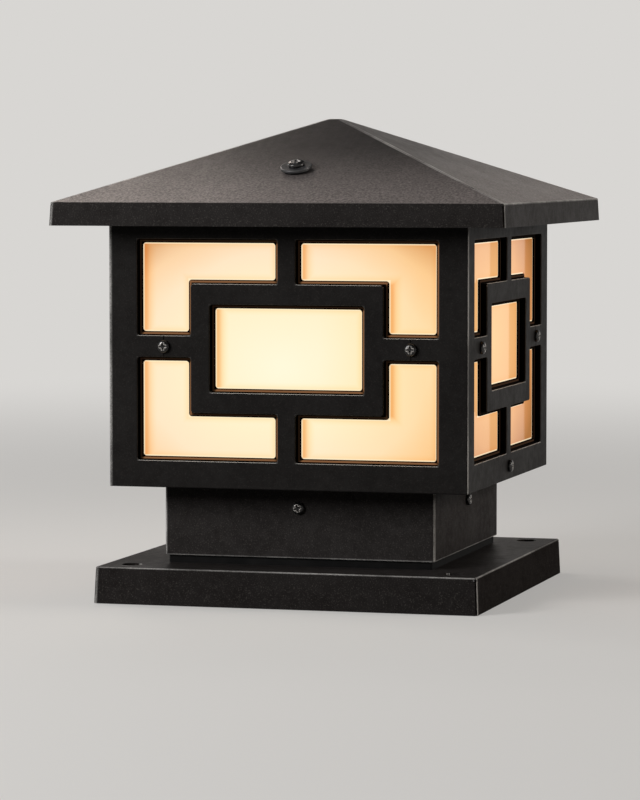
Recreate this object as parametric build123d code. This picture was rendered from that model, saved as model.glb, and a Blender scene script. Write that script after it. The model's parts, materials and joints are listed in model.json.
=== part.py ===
from build123d import *
import os
from math import atan, cos, sin, sqrt

# Square pillar light: a folded tray and neck carry a lantern of four cast lattice panels
# under a folded pyramid roof. Sizes are in millimetres, Z is up, the front faces -Y and
# the origin is the middle of the footprint on the ground.

# Base tray
BASE_WIDTH = 256.0
BASE_LEAN = 1.0
BASE_HEIGHT = 24.0
BASE_SHEET = 2.0
ANCHOR_SPACING = 216.0
ANCHOR_HOLE = 14.0
CABLE_OPENING = 120.0
CABLE_OPENING_CORNER = 12.0

# Corners of folded sheet: outside bend, open seam and the round upper corners of the flaps beside it
FOLD_RADIUS = 1.5
SEAM_GAP = 1.1
FLAP_CORNER = 1.8
SEAM_CUT_LENGTH = 10.0

# Neck, its foot flange and the gasket under it
NECK_WIDTH = 182.0
NECK_HEIGHT = 47.0
NECK_SHEET = 2.0
NECK_EDGE = 2.0
NECK_FLANGE = 21.0
NECK_HEM = 0.8
BASE_GASKET_HEIGHT = 5.0
BASE_GASKET_INSET = 2.0
NECK_BOLT_INSET = 13.0
NECK_SCREW_DROP = 14.0

# Collar that hangs from the floor pan inside the neck
COLLAR_DEPTH = 27.0
COLLAR_SHEET = 2.0
COLLAR_FLANGE = 14.0
SLEEVE_FIT = 0.2

# Lantern panels and their lattice
LANTERN_WIDTH = 239.0
PANEL_DEPTH = 13.0
PANEL_EDGE = 0.8
LATTICE_DEPTH = 6.0
LIP_WIDTH = 2.5
LIP_SHEET = 1.4
MITRE_GAP = 0.12
STILE_WIDTH = 19.0
BOTTOM_RAIL = 17.5
WINDOW_HEIGHT = 143.5
TOP_RAIL = 27.0
LATTICE_RISE = 1.2
RING_WIDTH = 128.5
RING_HEIGHT = 83.5
RING_STILE = 12.7
RING_RAIL = 13.3
UPRIGHT_ARM = 12.0
LEVEL_ARM = 14.0
LEVEL_ARM_RISE = 1.1
WINDOW_CORNER = 2.0
ARM_GROOVE_WIDTH = 0.6
ARM_GROOVE_DEPTH = 0.5

# Diffusers, the rebate they lie in and what clamps them
DIFFUSER_SHEET = 3.0
REBATE_LAP = 3.0
REBATE_CORNER = 1.5
DIFFUSER_GAP = 0.3
CLIP_WIDTH = 14.0
CLIP_HEIGHT = 26.0
CLIP_SHEET = 1.5

# Corner brackets at the top rails
BRACKET_LEG = 24.0
BRACKET_HEIGHT = 14.0
BRACKET_SHEET = 2.5
BRACKET_SCREW_PLACE = 14.0
BRACKET_DROP = 4.0

# Floor pan
FLOOR_SHEET = 2.0
FLOOR_NOTCH = 5.0
FLOOR_FLANGE_DROP = 4.0
FLOOR_SCREW_RISE = 9.0
FLOOR_FIT = 0.1

# Roof
ROOF_WIDTH = 300.0
FASCIA_HEIGHT = 15.0
FASCIA_LEAN = 0.8
ROOF_RISE = 56.0
ROOF_SHEET = 2.0
APEX_WIDTH = 9.0
APEX_ROUND = 16.0
ROOF_FOLD_ROUND = 0.9
ROOF_GASKET_EDGE = 6.0
ROOF_GASKET_INSET = 1.5
ROOF_SEAT_GAP = 0.3

# Roof fixings and the spring clips that seat the roof in the lantern
ROOF_SCREW_REACH = 95.0
ROOF_CLIP_WIDTH = 30.0
ROOF_CLIP_SHEET = 2.0
ROOF_CLIP_LEG = 18.0
ROOF_CLIP_GAP = 0.4
ROOF_CLIP_BEND = 3.0
ROOF_CLIP_LAP = 14.0
ROOF_SEAL_WIDTH = 17.0
ROOF_SEAL_HEIGHT = 1.8
ROOF_WASHER_WIDTH = 20.5
ROOF_WASHER_HEIGHT = 1.6
WASHER_EDGE = 0.5

# Fasteners: shank, head width, head height
M4 = 4.0
M4_HEAD = 8.2
M4_HEAD_HEIGHT = 3.0
M5 = 5.0
M5_HEAD = 8.0
M5_HEAD_HEIGHT = 3.5
M6 = 6.0
M6_HEAD = 11.0
M6_HEAD_HEIGHT = 4.4
M4_NUT = 7.0
M4_NUT_HEIGHT = 3.2
M5_NUT_HEIGHT = 4.0
M6_NUT = 10.0
M6_NUT_HEIGHT = 5.0
SHANK_EASE = 0.1
HOLE_EASE = 0.3
SCREW_BITE = 8.0
SCREW_TAIL = 1.5

# Lamp holder
HOLDER_FOOT = 64.0
HOLDER_FOOT_HEIGHT = 7.0
HOLDER_WIDTH = 43.0
HOLDER_HEIGHT = 42.0
HOLDER_FLOOR = 16.0
HOLDER_SHOULDER = 5.0
HOLDER_ROUND = 1.5
HOLDER_SCREW_PLACE = 26.5
SHELL_WIDTH = 28.4
SHELL_WALL = 0.9
SHELL_SINK = 2.0
CONTACT_WIDTH = 9.0
CONTACT_HEIGHT = 2.7

# Bulb
BULB_GLOBE = 60.0
BULB_NECK = 24.0
BULB_GLASS = 1.0
BULB_CAP_WALL = 0.8
BULB_CAP_HEIGHT = 22.0
BULB_CENTRE_RISE = 48.0
BULB_FIT = 0.3
BULB_TIP_WIDTH = 8.6
BULB_TIP_HEIGHT = 1.6
BULB_INSULATOR_HEIGHT = 3.4
BULB_NECK_SINK = 16.0
CEMENT_GAP = 0.2

# Wiring: terminal block, earth point and cable grommet, placed on the floor pan
TERMINAL_PLACE = (-57.0, 50.0)
TERMINAL_LENGTH = 34.0
TERMINAL_WIDTH = 20.0
TERMINAL_HEIGHT = 16.0
TERMINAL_POLES = 3
TERMINAL_PITCH = 10.0
TERMINAL_ROW = 11.0
TERMINAL_WELL = 5.0
TERMINAL_WELL_DEPTH = 5.0
TERMINAL_WIRE = 3.6
TERMINAL_ROUND = 1.2
CLAMP_SCREW_HEIGHT = 3.0
EARTH_PLACE = (57.0, 50.0)
EARTH_WASHER = 10.0
EARTH_WASHER_HEIGHT = 1.0
GROMMET_PLACE = (0.0, 46.0)
GROMMET_WIDTH = 24.0
GROMMET_HOLE = 18.0
GROMMET_BORE = 10.0
GROMMET_LIP = 3.0

# Levels and half widths that follow from the sizes above
neck_foot = BASE_HEIGHT + BASE_GASKET_HEIGHT
lantern_foot = neck_foot + NECK_HEIGHT
panel_height = BOTTOM_RAIL + WINDOW_HEIGHT + TOP_RAIL
lantern_top = lantern_foot + panel_height
lantern_half = LANTERN_WIDTH / 2
panel_back = lantern_half - PANEL_DEPTH
window_foot = lantern_foot + BOTTOM_RAIL
window_top = window_foot + WINDOW_HEIGHT
window_width = LANTERN_WIDTH - 2 * STILE_WIDTH
window_middle = window_foot + WINDOW_HEIGHT / 2
lattice_centre = window_middle + LATTICE_RISE
level_arm_centre = lattice_centre + LEVEL_ARM_RISE
lattice_screw_place = (RING_WIDTH + window_width) / 4
floor_top = lantern_foot + FLOOR_SHEET
floor_flange_top = window_foot - FLOOR_FLANGE_DROP
floor_screw_level = lantern_foot + FLOOR_SCREW_RISE
diffuser_front = lantern_half - LATTICE_DEPTH
diffuser_back = diffuser_front - DIFFUSER_SHEET
neck_inner_half = NECK_WIDTH / 2 - NECK_SHEET
collar_half = neck_inner_half - SLEEVE_FIT
collar_screw_place = collar_half - COLLAR_FLANGE / 2
neck_bolt_place = NECK_WIDTH / 2 - NECK_BOLT_INSET
bracket_level = lantern_top - BRACKET_DROP - BRACKET_HEIGHT / 2

# The roof rests on its gasket, so its levels are worked up from the panel tops
fold_half = ROOF_WIDTH / 2 - FASCIA_LEAN
roof_pitch = ROOF_RISE / fold_half
sheet_drop = ROOF_SHEET / cos(atan(roof_pitch))
gasket_outer_half = lantern_half - ROOF_GASKET_INSET
gasket_inner_half = panel_back + ROOF_GASKET_INSET
under_apex = lantern_top + ROOF_GASKET_EDGE + ROOF_SEAT_GAP + roof_pitch * gasket_outer_half
roof_apex = under_apex + sheet_drop
roof_fold = roof_apex - ROOF_RISE
fascia_foot = roof_fold - FASCIA_HEIGHT

# The bulb is worked up from the holder's centre contact
holder_top = floor_top + HOLDER_HEIGHT
holder_floor = floor_top + HOLDER_FLOOR
bulb_tip_level = holder_floor + CONTACT_HEIGHT + BULB_FIT
bulb_cap_foot = bulb_tip_level + BULB_TIP_HEIGHT + BULB_INSULATOR_HEIGHT
bulb_cap_top = bulb_cap_foot + BULB_CAP_HEIGHT
bulb_cap_half = SHELL_WIDTH / 2 - SHELL_WALL - BULB_FIT
bulb_centre = bulb_cap_top + BULB_CENTRE_RISE

SIDES = ("front", "right", "back", "left")


def quarter(index):
    """Turn about Z that carries the front side to side number index."""
    return Rot(0, 0, 90 * index)


def rounded_square(width, radius, level):
    """Square outline with round corners at one level."""
    return Pos(0, 0, level) * RectangleRounded(width, width, radius)


def tapered_block(foot_width, foot, top_width, top, foot_radius, top_radius):
    """Solid between two rounded squares, with straight sides."""
    sections = [rounded_square(foot_width, foot_radius, foot), rounded_square(top_width, top_radius, top)]
    return loft(sections, ruled=True)


def square_tube(outer_half, inner_half, foot, top, radius=FOLD_RADIUS):
    """Square ring wall of one height."""
    outer = extrude(rounded_square(2 * outer_half, radius, foot), amount=top - foot)
    inner_radius = max(radius - (outer_half - inner_half), 0.5)
    inner = extrude(rounded_square(2 * inner_half, inner_radius, foot), amount=top - foot)
    return outer - inner


def level_edges(part, level):
    """Edges of a part that lie flat at one level."""
    return [e for e in part.edges() if abs(e.bounding_box().min.Z - level) < 1e-3
            and abs(e.bounding_box().max.Z - level) < 1e-3]


def drill(diameter, point, direction, depth):
    """Round cutter that starts at a point and runs along a direction."""
    axis = Vector(*direction).normalized()
    bore = extrude(Circle(diameter / 2), amount=depth)
    return Plane(origin=point, z_dir=axis).location * bore


def pan_screw(size, head, head_height, length):
    """Pan head screw that stands on Z = 0 with its shank below."""
    top = Pos(0, 0, head_height / 2) * Cylinder(head / 2, head_height)
    top = fillet(level_edges(top, head_height), head_height * 0.6)
    shank = Pos(0, 0, -length / 2) * Cylinder(size / 2 - SHANK_EASE, length)
    return top + shank


def hex_bolt(size, head, head_height, length):
    """Hexagon head bolt that stands on Z = 0 with its shank below."""
    top = extrude(RegularPolygon(head / 2, 6, major_radius=False), amount=head_height)
    shank = Pos(0, 0, -length / 2) * Cylinder(size / 2 - SHANK_EASE, length)
    return top + shank


def hex_nut(size, width, height):
    """Hexagon nut that stands on Z = 0."""
    body = extrude(RegularPolygon(width / 2, 6, major_radius=False), amount=height)
    return body - Pos(0, 0, height / 2) * Cylinder(size / 2, height)


def set_on(part, point, outward):
    """Move a part so that its Z axis runs outward from a point."""
    return Plane(origin=point, z_dir=outward).location * part


def group(solids):
    """Several separate solids kept together."""
    return Compound(children=list(solids))


def corner_seams(half, foot, top):
    """Cutters for the open seams where folded sides meet, flared by the flaps' round upper corners."""
    reach = half * sqrt(2)
    flare = Pos(0, top - FLAP_CORNER / 2) * Rectangle(SEAM_GAP + 1.4 * FLAP_CORNER, FLAP_CORNER)
    for side in (-1, 1):
        flare -= Pos(side * (SEAM_GAP / 2 + FLAP_CORNER), top - FLAP_CORNER) * Circle(FLAP_CORNER)
    outline = flare + Pos(0, (foot + top) / 2) * Rectangle(SEAM_GAP, top - foot)
    cutter = extrude(Plane.YZ.offset(reach - SEAM_CUT_LENGTH / 2) * outline, amount=SEAM_CUT_LENGTH)
    return [Rot(0, 0, 45 + 90 * i) * cutter for i in range(4)]


def at_corners(spacing, level):
    """Four points at the corners of a square."""
    half = spacing / 2
    return [(x, y, level) for x in (-half, half) for y in (-half, half)]


def base_tray():
    """Folded tray with a leaning skirt, anchor holes and a cable opening."""
    top_width = BASE_WIDTH - 2 * BASE_LEAN
    skin = tapered_block(BASE_WIDTH, 0, top_width, BASE_HEIGHT, FOLD_RADIUS, FOLD_RADIUS)
    skin = fillet(level_edges(skin, BASE_HEIGHT), FOLD_RADIUS * 0.9)
    sheet = 2 * BASE_SHEET
    hollow_top = BASE_HEIGHT - BASE_SHEET
    tray = skin - tapered_block(BASE_WIDTH - sheet, 0, top_width - sheet, hollow_top, 0.5, 0.5)
    for seam in corner_seams(BASE_WIDTH / 2, -1, BASE_HEIGHT - FOLD_RADIUS):
        tray -= seam
    for x, y, z in at_corners(ANCHOR_SPACING, BASE_HEIGHT):
        tray -= drill(ANCHOR_HOLE, (x, y, z), (0, 0, -1), BASE_SHEET)
    for x, y, z in at_corners(2 * neck_bolt_place, BASE_HEIGHT):
        tray -= drill(M5 + 2 * HOLE_EASE, (x, y, z), (0, 0, -1), BASE_SHEET)
    opening = rounded_square(CABLE_OPENING, CABLE_OPENING_CORNER, hollow_top)
    return tray - extrude(opening, amount=BASE_SHEET)


def base_gasket():
    """Rubber ring that lifts the neck clear of the tray and seals it."""
    outer = NECK_WIDTH / 2 - BASE_GASKET_INSET
    inner = NECK_WIDTH / 2 - NECK_FLANGE + BASE_GASKET_INSET
    ring = square_tube(outer, inner, BASE_HEIGHT, neck_foot)
    for x, y, z in at_corners(2 * neck_bolt_place, neck_foot):
        ring -= drill(M5 + 2 * HOLE_EASE, (x, y, z), (0, 0, -1), BASE_GASKET_HEIGHT)
    return ring


def neck_sleeve():
    """Square folded sleeve with an inward foot flange."""
    block = extrude(rounded_square(NECK_WIDTH, NECK_EDGE, neck_foot), amount=NECK_HEIGHT)
    block = fillet(level_edges(block, neck_foot), NECK_HEM)
    hollow_foot = neck_foot + NECK_SHEET
    hollow = rounded_square(2 * neck_inner_half, 0.5, hollow_foot)
    sleeve = block - extrude(hollow, amount=NECK_HEIGHT - NECK_SHEET)
    flange_opening = rounded_square(NECK_WIDTH - 2 * NECK_FLANGE, CABLE_OPENING_CORNER, neck_foot)
    sleeve -= extrude(flange_opening, amount=NECK_SHEET)
    for x, y, z in at_corners(2 * neck_bolt_place, hollow_foot):
        sleeve -= drill(M5 + 2 * HOLE_EASE, (x, y, z), (0, 0, -1), NECK_SHEET)
    screw_hole = drill(M4 + 2 * HOLE_EASE, (0, -NECK_WIDTH / 2, neck_screw_level()), (0, 1, 0), NECK_SHEET)
    for i in range(4):
        sleeve -= quarter(i) * screw_hole
    return sleeve


def neck_screw_level():
    """Height of the screws that hold the neck to the collar."""
    return lantern_foot - NECK_SCREW_DROP


def neck_bolts():
    """Bolts that draw the neck, gasket and tray together."""
    reach = NECK_SHEET + BASE_GASKET_HEIGHT + BASE_SHEET + M5_NUT_HEIGHT + SCREW_TAIL
    bolt = hex_bolt(M5, M5_HEAD, M5_HEAD_HEIGHT, reach)
    return group(Pos(*p) * bolt for p in at_corners(2 * neck_bolt_place, neck_foot + NECK_SHEET))


def neck_nuts():
    """Nuts of the neck bolts, under the tray's top."""
    level = BASE_HEIGHT - BASE_SHEET - M5_NUT_HEIGHT
    nut = hex_nut(M5, M5_HEAD, M5_NUT_HEIGHT)
    return group(Pos(*p) * nut for p in at_corners(2 * neck_bolt_place, level))


def neck_collar():
    """Square collar under the floor pan that the neck slides over."""
    foot = lantern_foot - COLLAR_DEPTH
    wall = square_tube(collar_half, collar_half - COLLAR_SHEET, foot, lantern_foot)
    flange_foot = lantern_foot - COLLAR_SHEET
    flange = square_tube(collar_half, collar_half - COLLAR_FLANGE, flange_foot, lantern_foot)
    collar = wall + flange
    start = (0, -collar_half, neck_screw_level())
    for i in range(4):
        collar -= quarter(i) * drill(M4, start, (0, 1, 0), COLLAR_SHEET)
        collar -= quarter(i) * drill(M4, (0, -collar_screw_place, lantern_foot), (0, 0, -1), COLLAR_SHEET)
    return collar


def neck_screws():
    """One pan head screw on each side of the neck."""
    screw = pan_screw(M4, M4_HEAD, M4_HEAD_HEIGHT, NECK_SHEET + COLLAR_SHEET + SCREW_BITE / 2)
    front = set_on(screw, (0, -NECK_WIDTH / 2, neck_screw_level()), (0, -1, 0))
    return group(quarter(i) * front for i in range(4))


def collar_screws():
    """Screws that hang the collar from the floor pan."""
    screw = pan_screw(M4, M4_HEAD, M4_HEAD_HEIGHT, FLOOR_SHEET + COLLAR_SHEET + SCREW_TAIL)
    front = Pos(0, -collar_screw_place, floor_top) * screw
    return group(quarter(i) * front for i in range(4))


def holder_screw_points():
    """Places of the two lamp holder screws on the floor pan."""
    return [(x, 0, floor_top) for x in (-HOLDER_SCREW_PLACE, HOLDER_SCREW_PLACE)]


def floor_pan():
    """Folded pan that closes the lantern below and carries the lamp."""
    half = panel_back - FLOOR_FIT
    pan = square_tube(half, half - FLOOR_SHEET, lantern_foot, floor_flange_top)
    pan += extrude(rounded_square(2 * half, FOLD_RADIUS, lantern_foot), amount=FLOOR_SHEET)
    notch = Box(2 * FLOOR_NOTCH, 2 * FLOOR_NOTCH, floor_flange_top - floor_top)
    for x, y, z in at_corners(2 * half, (floor_flange_top + floor_top) / 2):
        pan -= Pos(x, y, z) * notch
    for i in range(4):
        pan -= quarter(i) * drill(M4, (0, -half, floor_screw_level), (0, 1, 0), FLOOR_SHEET)
        pan -= quarter(i) * drill(M4 + 2 * HOLE_EASE, (0, -collar_screw_place, floor_top), (0, 0, -1), FLOOR_SHEET)
    points = [(*TERMINAL_PLACE, floor_top), (*EARTH_PLACE, floor_top)] + holder_screw_points()
    for point in points:
        pan -= drill(M4, point, (0, 0, -1), FLOOR_SHEET)
    return pan - drill(GROMMET_HOLE, (*GROMMET_PLACE, floor_top), (0, 0, -1), FLOOR_SHEET)


def floor_side_screws():
    """Screws low on the right and left panels, into the pan's flange."""
    screw = pan_screw(M4, M4_HEAD, M4_HEAD_HEIGHT, PANEL_DEPTH + FLOOR_FIT + FLOOR_SHEET + SCREW_TAIL)
    front = set_on(screw, (0, -lantern_half, floor_screw_level), (0, -1, 0))
    return group(quarter(i) * front for i in (1, 3))


def floor_inner_screws():
    """Screws inside the pan that hold the front and back panels."""
    face = panel_back - FLOOR_FIT - FLOOR_SHEET
    screw = pan_screw(M4, M4_HEAD, M4_HEAD_HEIGHT, FLOOR_SHEET + FLOOR_FIT + SCREW_BITE)
    front = set_on(screw, (0, -face, floor_screw_level), (0, 1, 0))
    return group(quarter(i) * front for i in (0, 2))


def window_outline(lip):
    """Four L-shaped windows around a ring and the window inside the ring, all drawn in by a lip."""
    both = 2 * lip
    ring = Pos(0, lattice_centre) * Rectangle(RING_WIDTH + both, RING_HEIGHT + both)
    upright = Pos(0, window_middle) * Rectangle(UPRIGHT_ARM + both, WINDOW_HEIGHT)
    level = Pos(0, level_arm_centre) * Rectangle(window_width, LEVEL_ARM + both)
    whole = Pos(0, window_middle) * Rectangle(window_width - both, WINDOW_HEIGHT - both)
    corners = whole - (ring + upright + level)
    inside = Rectangle(RING_WIDTH - 2 * RING_STILE - both, RING_HEIGHT - 2 * RING_RAIL - both)
    windows = corners + Pos(0, lattice_centre) * inside
    return fillet(windows.vertices(), WINDOW_CORNER)


def rebate_outline(ease):
    """Outline of the rebate behind the lattice, drawn in by an ease."""
    lap = 2 * (REBATE_LAP - ease)
    return Pos(0, window_middle) * RectangleRounded(window_width + lap, WINDOW_HEIGHT + lap, REBATE_CORNER)


def behind_face(sketch, start, end):
    """Slab of the front side between two depths behind the panel's face."""
    return extrude(Plane.XZ.offset(lantern_half - start) * sketch, amount=start - end)


def mitre_wedge():
    """Prism that trims the front panel to its half of each mitred corner."""
    reach = LANTERN_WIDTH
    corners = [(0, -MITRE_GAP), (-reach, -reach - MITRE_GAP), (reach, -reach - MITRE_GAP)]
    wedge = Pos(0, 0, lantern_foot) * make_face(Polyline(*corners, close=True))
    return extrude(wedge, amount=panel_height)


def bracket_screw_points():
    """Where the corner bracket screws enter the back of the front panel."""
    place = panel_back - BRACKET_SCREW_PLACE
    return [(x, -panel_back, bracket_level) for x in (-place, place)]


def lattice_panel(index):
    """Cast panel: deep frame, thin ring and arms in one piece, with a lip round every window."""
    middle = lantern_foot + panel_height / 2
    outline = Pos(0, middle) * Rectangle(LANTERN_WIDTH, panel_height)
    lip_start = LATTICE_DEPTH - LIP_SHEET
    panel = behind_face(outline - window_outline(0), 0, lip_start)
    panel = fillet(panel.edges().group_by(Axis.Y)[0], PANEL_EDGE)
    panel += behind_face(outline - window_outline(LIP_WIDTH), lip_start, LATTICE_DEPTH)
    panel += behind_face(outline - rebate_outline(0), LATTICE_DEPTH, PANEL_DEPTH)
    panel = panel & mitre_wedge()
    groove = Box(ARM_GROOVE_WIDTH, 2 * ARM_GROOVE_DEPTH, LEVEL_ARM)
    for x in (-lattice_screw_place, lattice_screw_place):
        panel -= Pos(x, -lantern_half, level_arm_centre) * groove
        panel -= drill(M4 + 2 * HOLE_EASE, (x, -lantern_half, level_arm_centre), (0, 1, 0), LATTICE_DEPTH)
    for point in bracket_screw_points():
        panel -= drill(M4, point, (0, -1, 0), SCREW_BITE + SCREW_TAIL)
    if index % 2:
        panel -= drill(M4 + 2 * HOLE_EASE, (0, -lantern_half, floor_screw_level), (0, 1, 0), PANEL_DEPTH)
    else:
        panel -= drill(M4, (0, -panel_back, floor_screw_level), (0, -1, 0), SCREW_BITE + SCREW_TAIL)
    return quarter(index) * panel


def diffuser(index):
    """Opal sheet that lies in the rebate behind one panel's windows."""
    sheet = behind_face(rebate_outline(DIFFUSER_GAP), LATTICE_DEPTH, LATTICE_DEPTH + DIFFUSER_SHEET)
    for x in (-lattice_screw_place, lattice_screw_place):
        start = (x, -diffuser_front, level_arm_centre)
        sheet -= drill(M4 + 4 * HOLE_EASE, start, (0, 1, 0), DIFFUSER_SHEET)
    return quarter(index) * sheet


def lattice_points(depth):
    """Points on the lattice screws' axes, all round, at one half width."""
    places = (-lattice_screw_place, lattice_screw_place)
    return [(i, (x, -depth, level_arm_centre)) for i in range(4) for x in places]


def lattice_screws():
    """Two pan head screws on the level arms of every panel."""
    reach = LATTICE_DEPTH + DIFFUSER_SHEET + CLIP_SHEET + M4_NUT_HEIGHT + SCREW_TAIL
    screw = pan_screw(M4, M4_HEAD, M4_HEAD_HEIGHT, reach)
    return group(quarter(i) * set_on(screw, p, (0, -1, 0)) for i, p in lattice_points(lantern_half))


def diffuser_clips():
    """Flat clips that the lattice screws draw against the diffusers."""
    plate = Pos(0, 0, CLIP_SHEET / 2) * Box(CLIP_WIDTH, CLIP_HEIGHT, CLIP_SHEET)
    plate = fillet(plate.edges().filter_by(Axis.Z), CLIP_SHEET)
    plate -= Cylinder(M4 / 2 + HOLE_EASE, 4 * CLIP_SHEET)
    return group(quarter(i) * set_on(plate, p, (0, 1, 0)) for i, p in lattice_points(diffuser_back))


def lattice_nuts():
    """Nuts of the lattice screws, behind the clips."""
    nut = hex_nut(M4, M4_NUT, M4_NUT_HEIGHT)
    points = lattice_points(diffuser_back - CLIP_SHEET)
    return group(quarter(i) * set_on(nut, p, (0, 1, 0)) for i, p in points)


def corner_bracket(index):
    """Bent angle that joins two panels at the top of one inner corner."""
    inner = panel_back - BRACKET_SHEET
    corner = panel_back - BRACKET_LEG / 2
    foot = bracket_level - BRACKET_HEIGHT / 2
    block = Pos(corner, -corner) * Rectangle(BRACKET_LEG, BRACKET_LEG)
    core = Pos(inner - BRACKET_LEG, -inner + BRACKET_LEG) * Rectangle(2 * BRACKET_LEG, 2 * BRACKET_LEG)
    angle = extrude(Pos(0, 0, foot) * (block - core), amount=BRACKET_HEIGHT)
    bend = [e for e in angle.edges().filter_by(Axis.Z) if e.center().X > panel_back - 0.01
            and e.center().Y < -panel_back + 0.01]
    angle = fillet(bend, BRACKET_SHEET)
    place = panel_back - BRACKET_SCREW_PLACE
    angle -= drill(M4 + 2 * HOLE_EASE, (place, -inner, bracket_level), (0, -1, 0), BRACKET_SHEET)
    angle -= drill(M4 + 2 * HOLE_EASE, (inner, -place, bracket_level), (1, 0, 0), BRACKET_SHEET)
    return quarter(index) * angle


def corner_bracket_screws():
    """Screws from inside through the corner brackets into the panels."""
    screw = pan_screw(M4, M4_HEAD, M4_HEAD_HEIGHT, BRACKET_SHEET + SCREW_BITE)
    pair = [set_on(screw, (x, y + BRACKET_SHEET, z), (0, 1, 0)) for x, y, z in bracket_screw_points()]
    return group(quarter(i) * s for i in range(4) for s in pair)


def roof_slope(point_reach, above):
    """Point on the front slope's middle line, raised along the slope's normal."""
    tilt = atan(roof_pitch)
    level = roof_apex - roof_pitch * point_reach
    return (0, -point_reach - above * sin(tilt), level + above * cos(tilt))


def slope_normal():
    """Outward normal of the front slope."""
    tilt = atan(roof_pitch)
    return (0, -sin(tilt), cos(tilt))


def roof_cap():
    """Folded pyramid sheet with a leaning fascia, rounded hips and open corners."""
    fold_width = 2 * fold_half
    crown = roof_apex - roof_pitch * APEX_WIDTH / 2
    crown_round = APEX_WIDTH * 0.45
    slopes = tapered_block(fold_width, roof_fold, APEX_WIDTH, crown, FOLD_RADIUS, crown_round)
    slopes = fillet(level_edges(slopes, crown), APEX_ROUND)
    skin = tapered_block(ROOF_WIDTH, fascia_foot, fold_width, roof_fold, FOLD_RADIUS, FOLD_RADIUS)
    skin = fillet(level_edges(skin + slopes, roof_fold), ROOF_FOLD_ROUND)

    lean = FASCIA_LEAN / FASCIA_HEIGHT
    inner_foot = ROOF_WIDTH / 2 - ROOF_SHEET
    rise = under_apex - roof_pitch * (inner_foot + fascia_foot * lean)
    inner_fold = rise / (1 - roof_pitch * lean)
    inner_half = (under_apex - inner_fold) / roof_pitch
    inner_crown = under_apex - roof_pitch * APEX_WIDTH / 2
    hollow = tapered_block(2 * inner_foot, fascia_foot, 2 * inner_half, inner_fold, 0.5, 0.5)
    hollow += tapered_block(2 * inner_half, inner_fold, APEX_WIDTH, inner_crown, 0.5, 0.5)
    cap = skin - hollow

    for seam in corner_seams(ROOF_WIDTH / 2, fascia_foot - 1, roof_fold - ROOF_FOLD_ROUND):
        cap -= seam
    hole = Plane(origin=roof_slope(ROOF_SCREW_REACH, 0), z_dir=slope_normal()).location
    hole = hole * Cylinder(M6 / 2 + HOLE_EASE, 4 * ROOF_SHEET)
    for i in (0, 2):
        cap -= quarter(i) * hole
    return cap


def roof_gasket():
    """Rubber ring on the panel tops, its upper face sloped like the roof."""
    level = under_apex - ROOF_SEAT_GAP
    blunt = level - roof_pitch * APEX_WIDTH
    ring = square_tube(gasket_outer_half, gasket_inner_half, lantern_top, blunt, 0.6)
    wide = gasket_outer_half + 20
    slope = tapered_block(2 * wide, level - roof_pitch * wide, 2 * APEX_WIDTH, blunt, 0.5, 0.5)
    return ring & slope


def roof_clip(index):
    """Bent strip under one roof screw, with a leg that seats inside the panel's top rail."""
    leg_half = panel_back - ROOF_CLIP_GAP
    leg_foot = lantern_top - ROOF_CLIP_LEG
    upper = ROOF_SCREW_REACH - ROOF_CLIP_LAP
    bend_level = under_apex - roof_pitch * leg_half
    points = [(-leg_half, leg_foot), (-leg_half, bend_level), (-upper, under_apex - roof_pitch * upper)]
    with BuildPart() as strip:
        with BuildSketch(Plane.YZ):
            with BuildLine():
                FilletPolyline(*points, radius=ROOF_CLIP_BEND)
                offset(amount=ROOF_CLIP_SHEET, side=Side.RIGHT)
            make_face()
        extrude(amount=ROOF_CLIP_WIDTH / 2, both=True)
    hole = Plane(origin=roof_slope(ROOF_SCREW_REACH, -ROOF_SHEET), z_dir=slope_normal()).location
    clip = strip.part - hole * Cylinder(M6 / 2 + HOLE_EASE, 6 * ROOF_CLIP_SHEET)
    return quarter(index) * clip


def on_both_slopes(part, above):
    """The same fixing on the front and back slopes."""
    front = set_on(part, roof_slope(ROOF_SCREW_REACH, above), slope_normal())
    return group(quarter(i) * front for i in (0, 2))


def roof_screws():
    """Screws through the roof into the clips' nuts."""
    above = ROOF_SEAL_HEIGHT + ROOF_WASHER_HEIGHT
    reach = above + ROOF_SHEET + ROOF_CLIP_SHEET + M6_NUT_HEIGHT + SCREW_TAIL
    return on_both_slopes(pan_screw(M6, M6_HEAD, M6_HEAD_HEIGHT, reach), above)


def flat_washer(width, bore, height, edge):
    """Flat ring on Z = 0 with a rounded upper rim."""
    disc = Pos(0, 0, height / 2) * Cylinder(width / 2, height)
    disc = fillet(level_edges(disc, height), edge)
    return disc - Cylinder(bore / 2, 4 * height)


def roof_seals():
    """Rubber rings between the washers and the roof."""
    ring = flat_washer(ROOF_SEAL_WIDTH, M6 + HOLE_EASE, ROOF_SEAL_HEIGHT, WASHER_EDGE)
    return on_both_slopes(ring, 0)


def roof_washers():
    """Wide washers under the roof screws' heads."""
    ring = flat_washer(ROOF_WASHER_WIDTH, M6 + HOLE_EASE, ROOF_WASHER_HEIGHT, WASHER_EDGE)
    return on_both_slopes(ring, ROOF_SEAL_HEIGHT)


def roof_nuts():
    """Nuts of the roof screws, under the clips."""
    return on_both_slopes(hex_nut(M6, M6_NUT, M6_NUT_HEIGHT), -ROOF_SHEET - ROOF_CLIP_SHEET - M6_NUT_HEIGHT)


def turned(profile):
    """Solid of revolution about Z from a closed profile of radius and height."""
    return revolve(Plane.XZ * profile, axis=Axis.Z)


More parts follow.
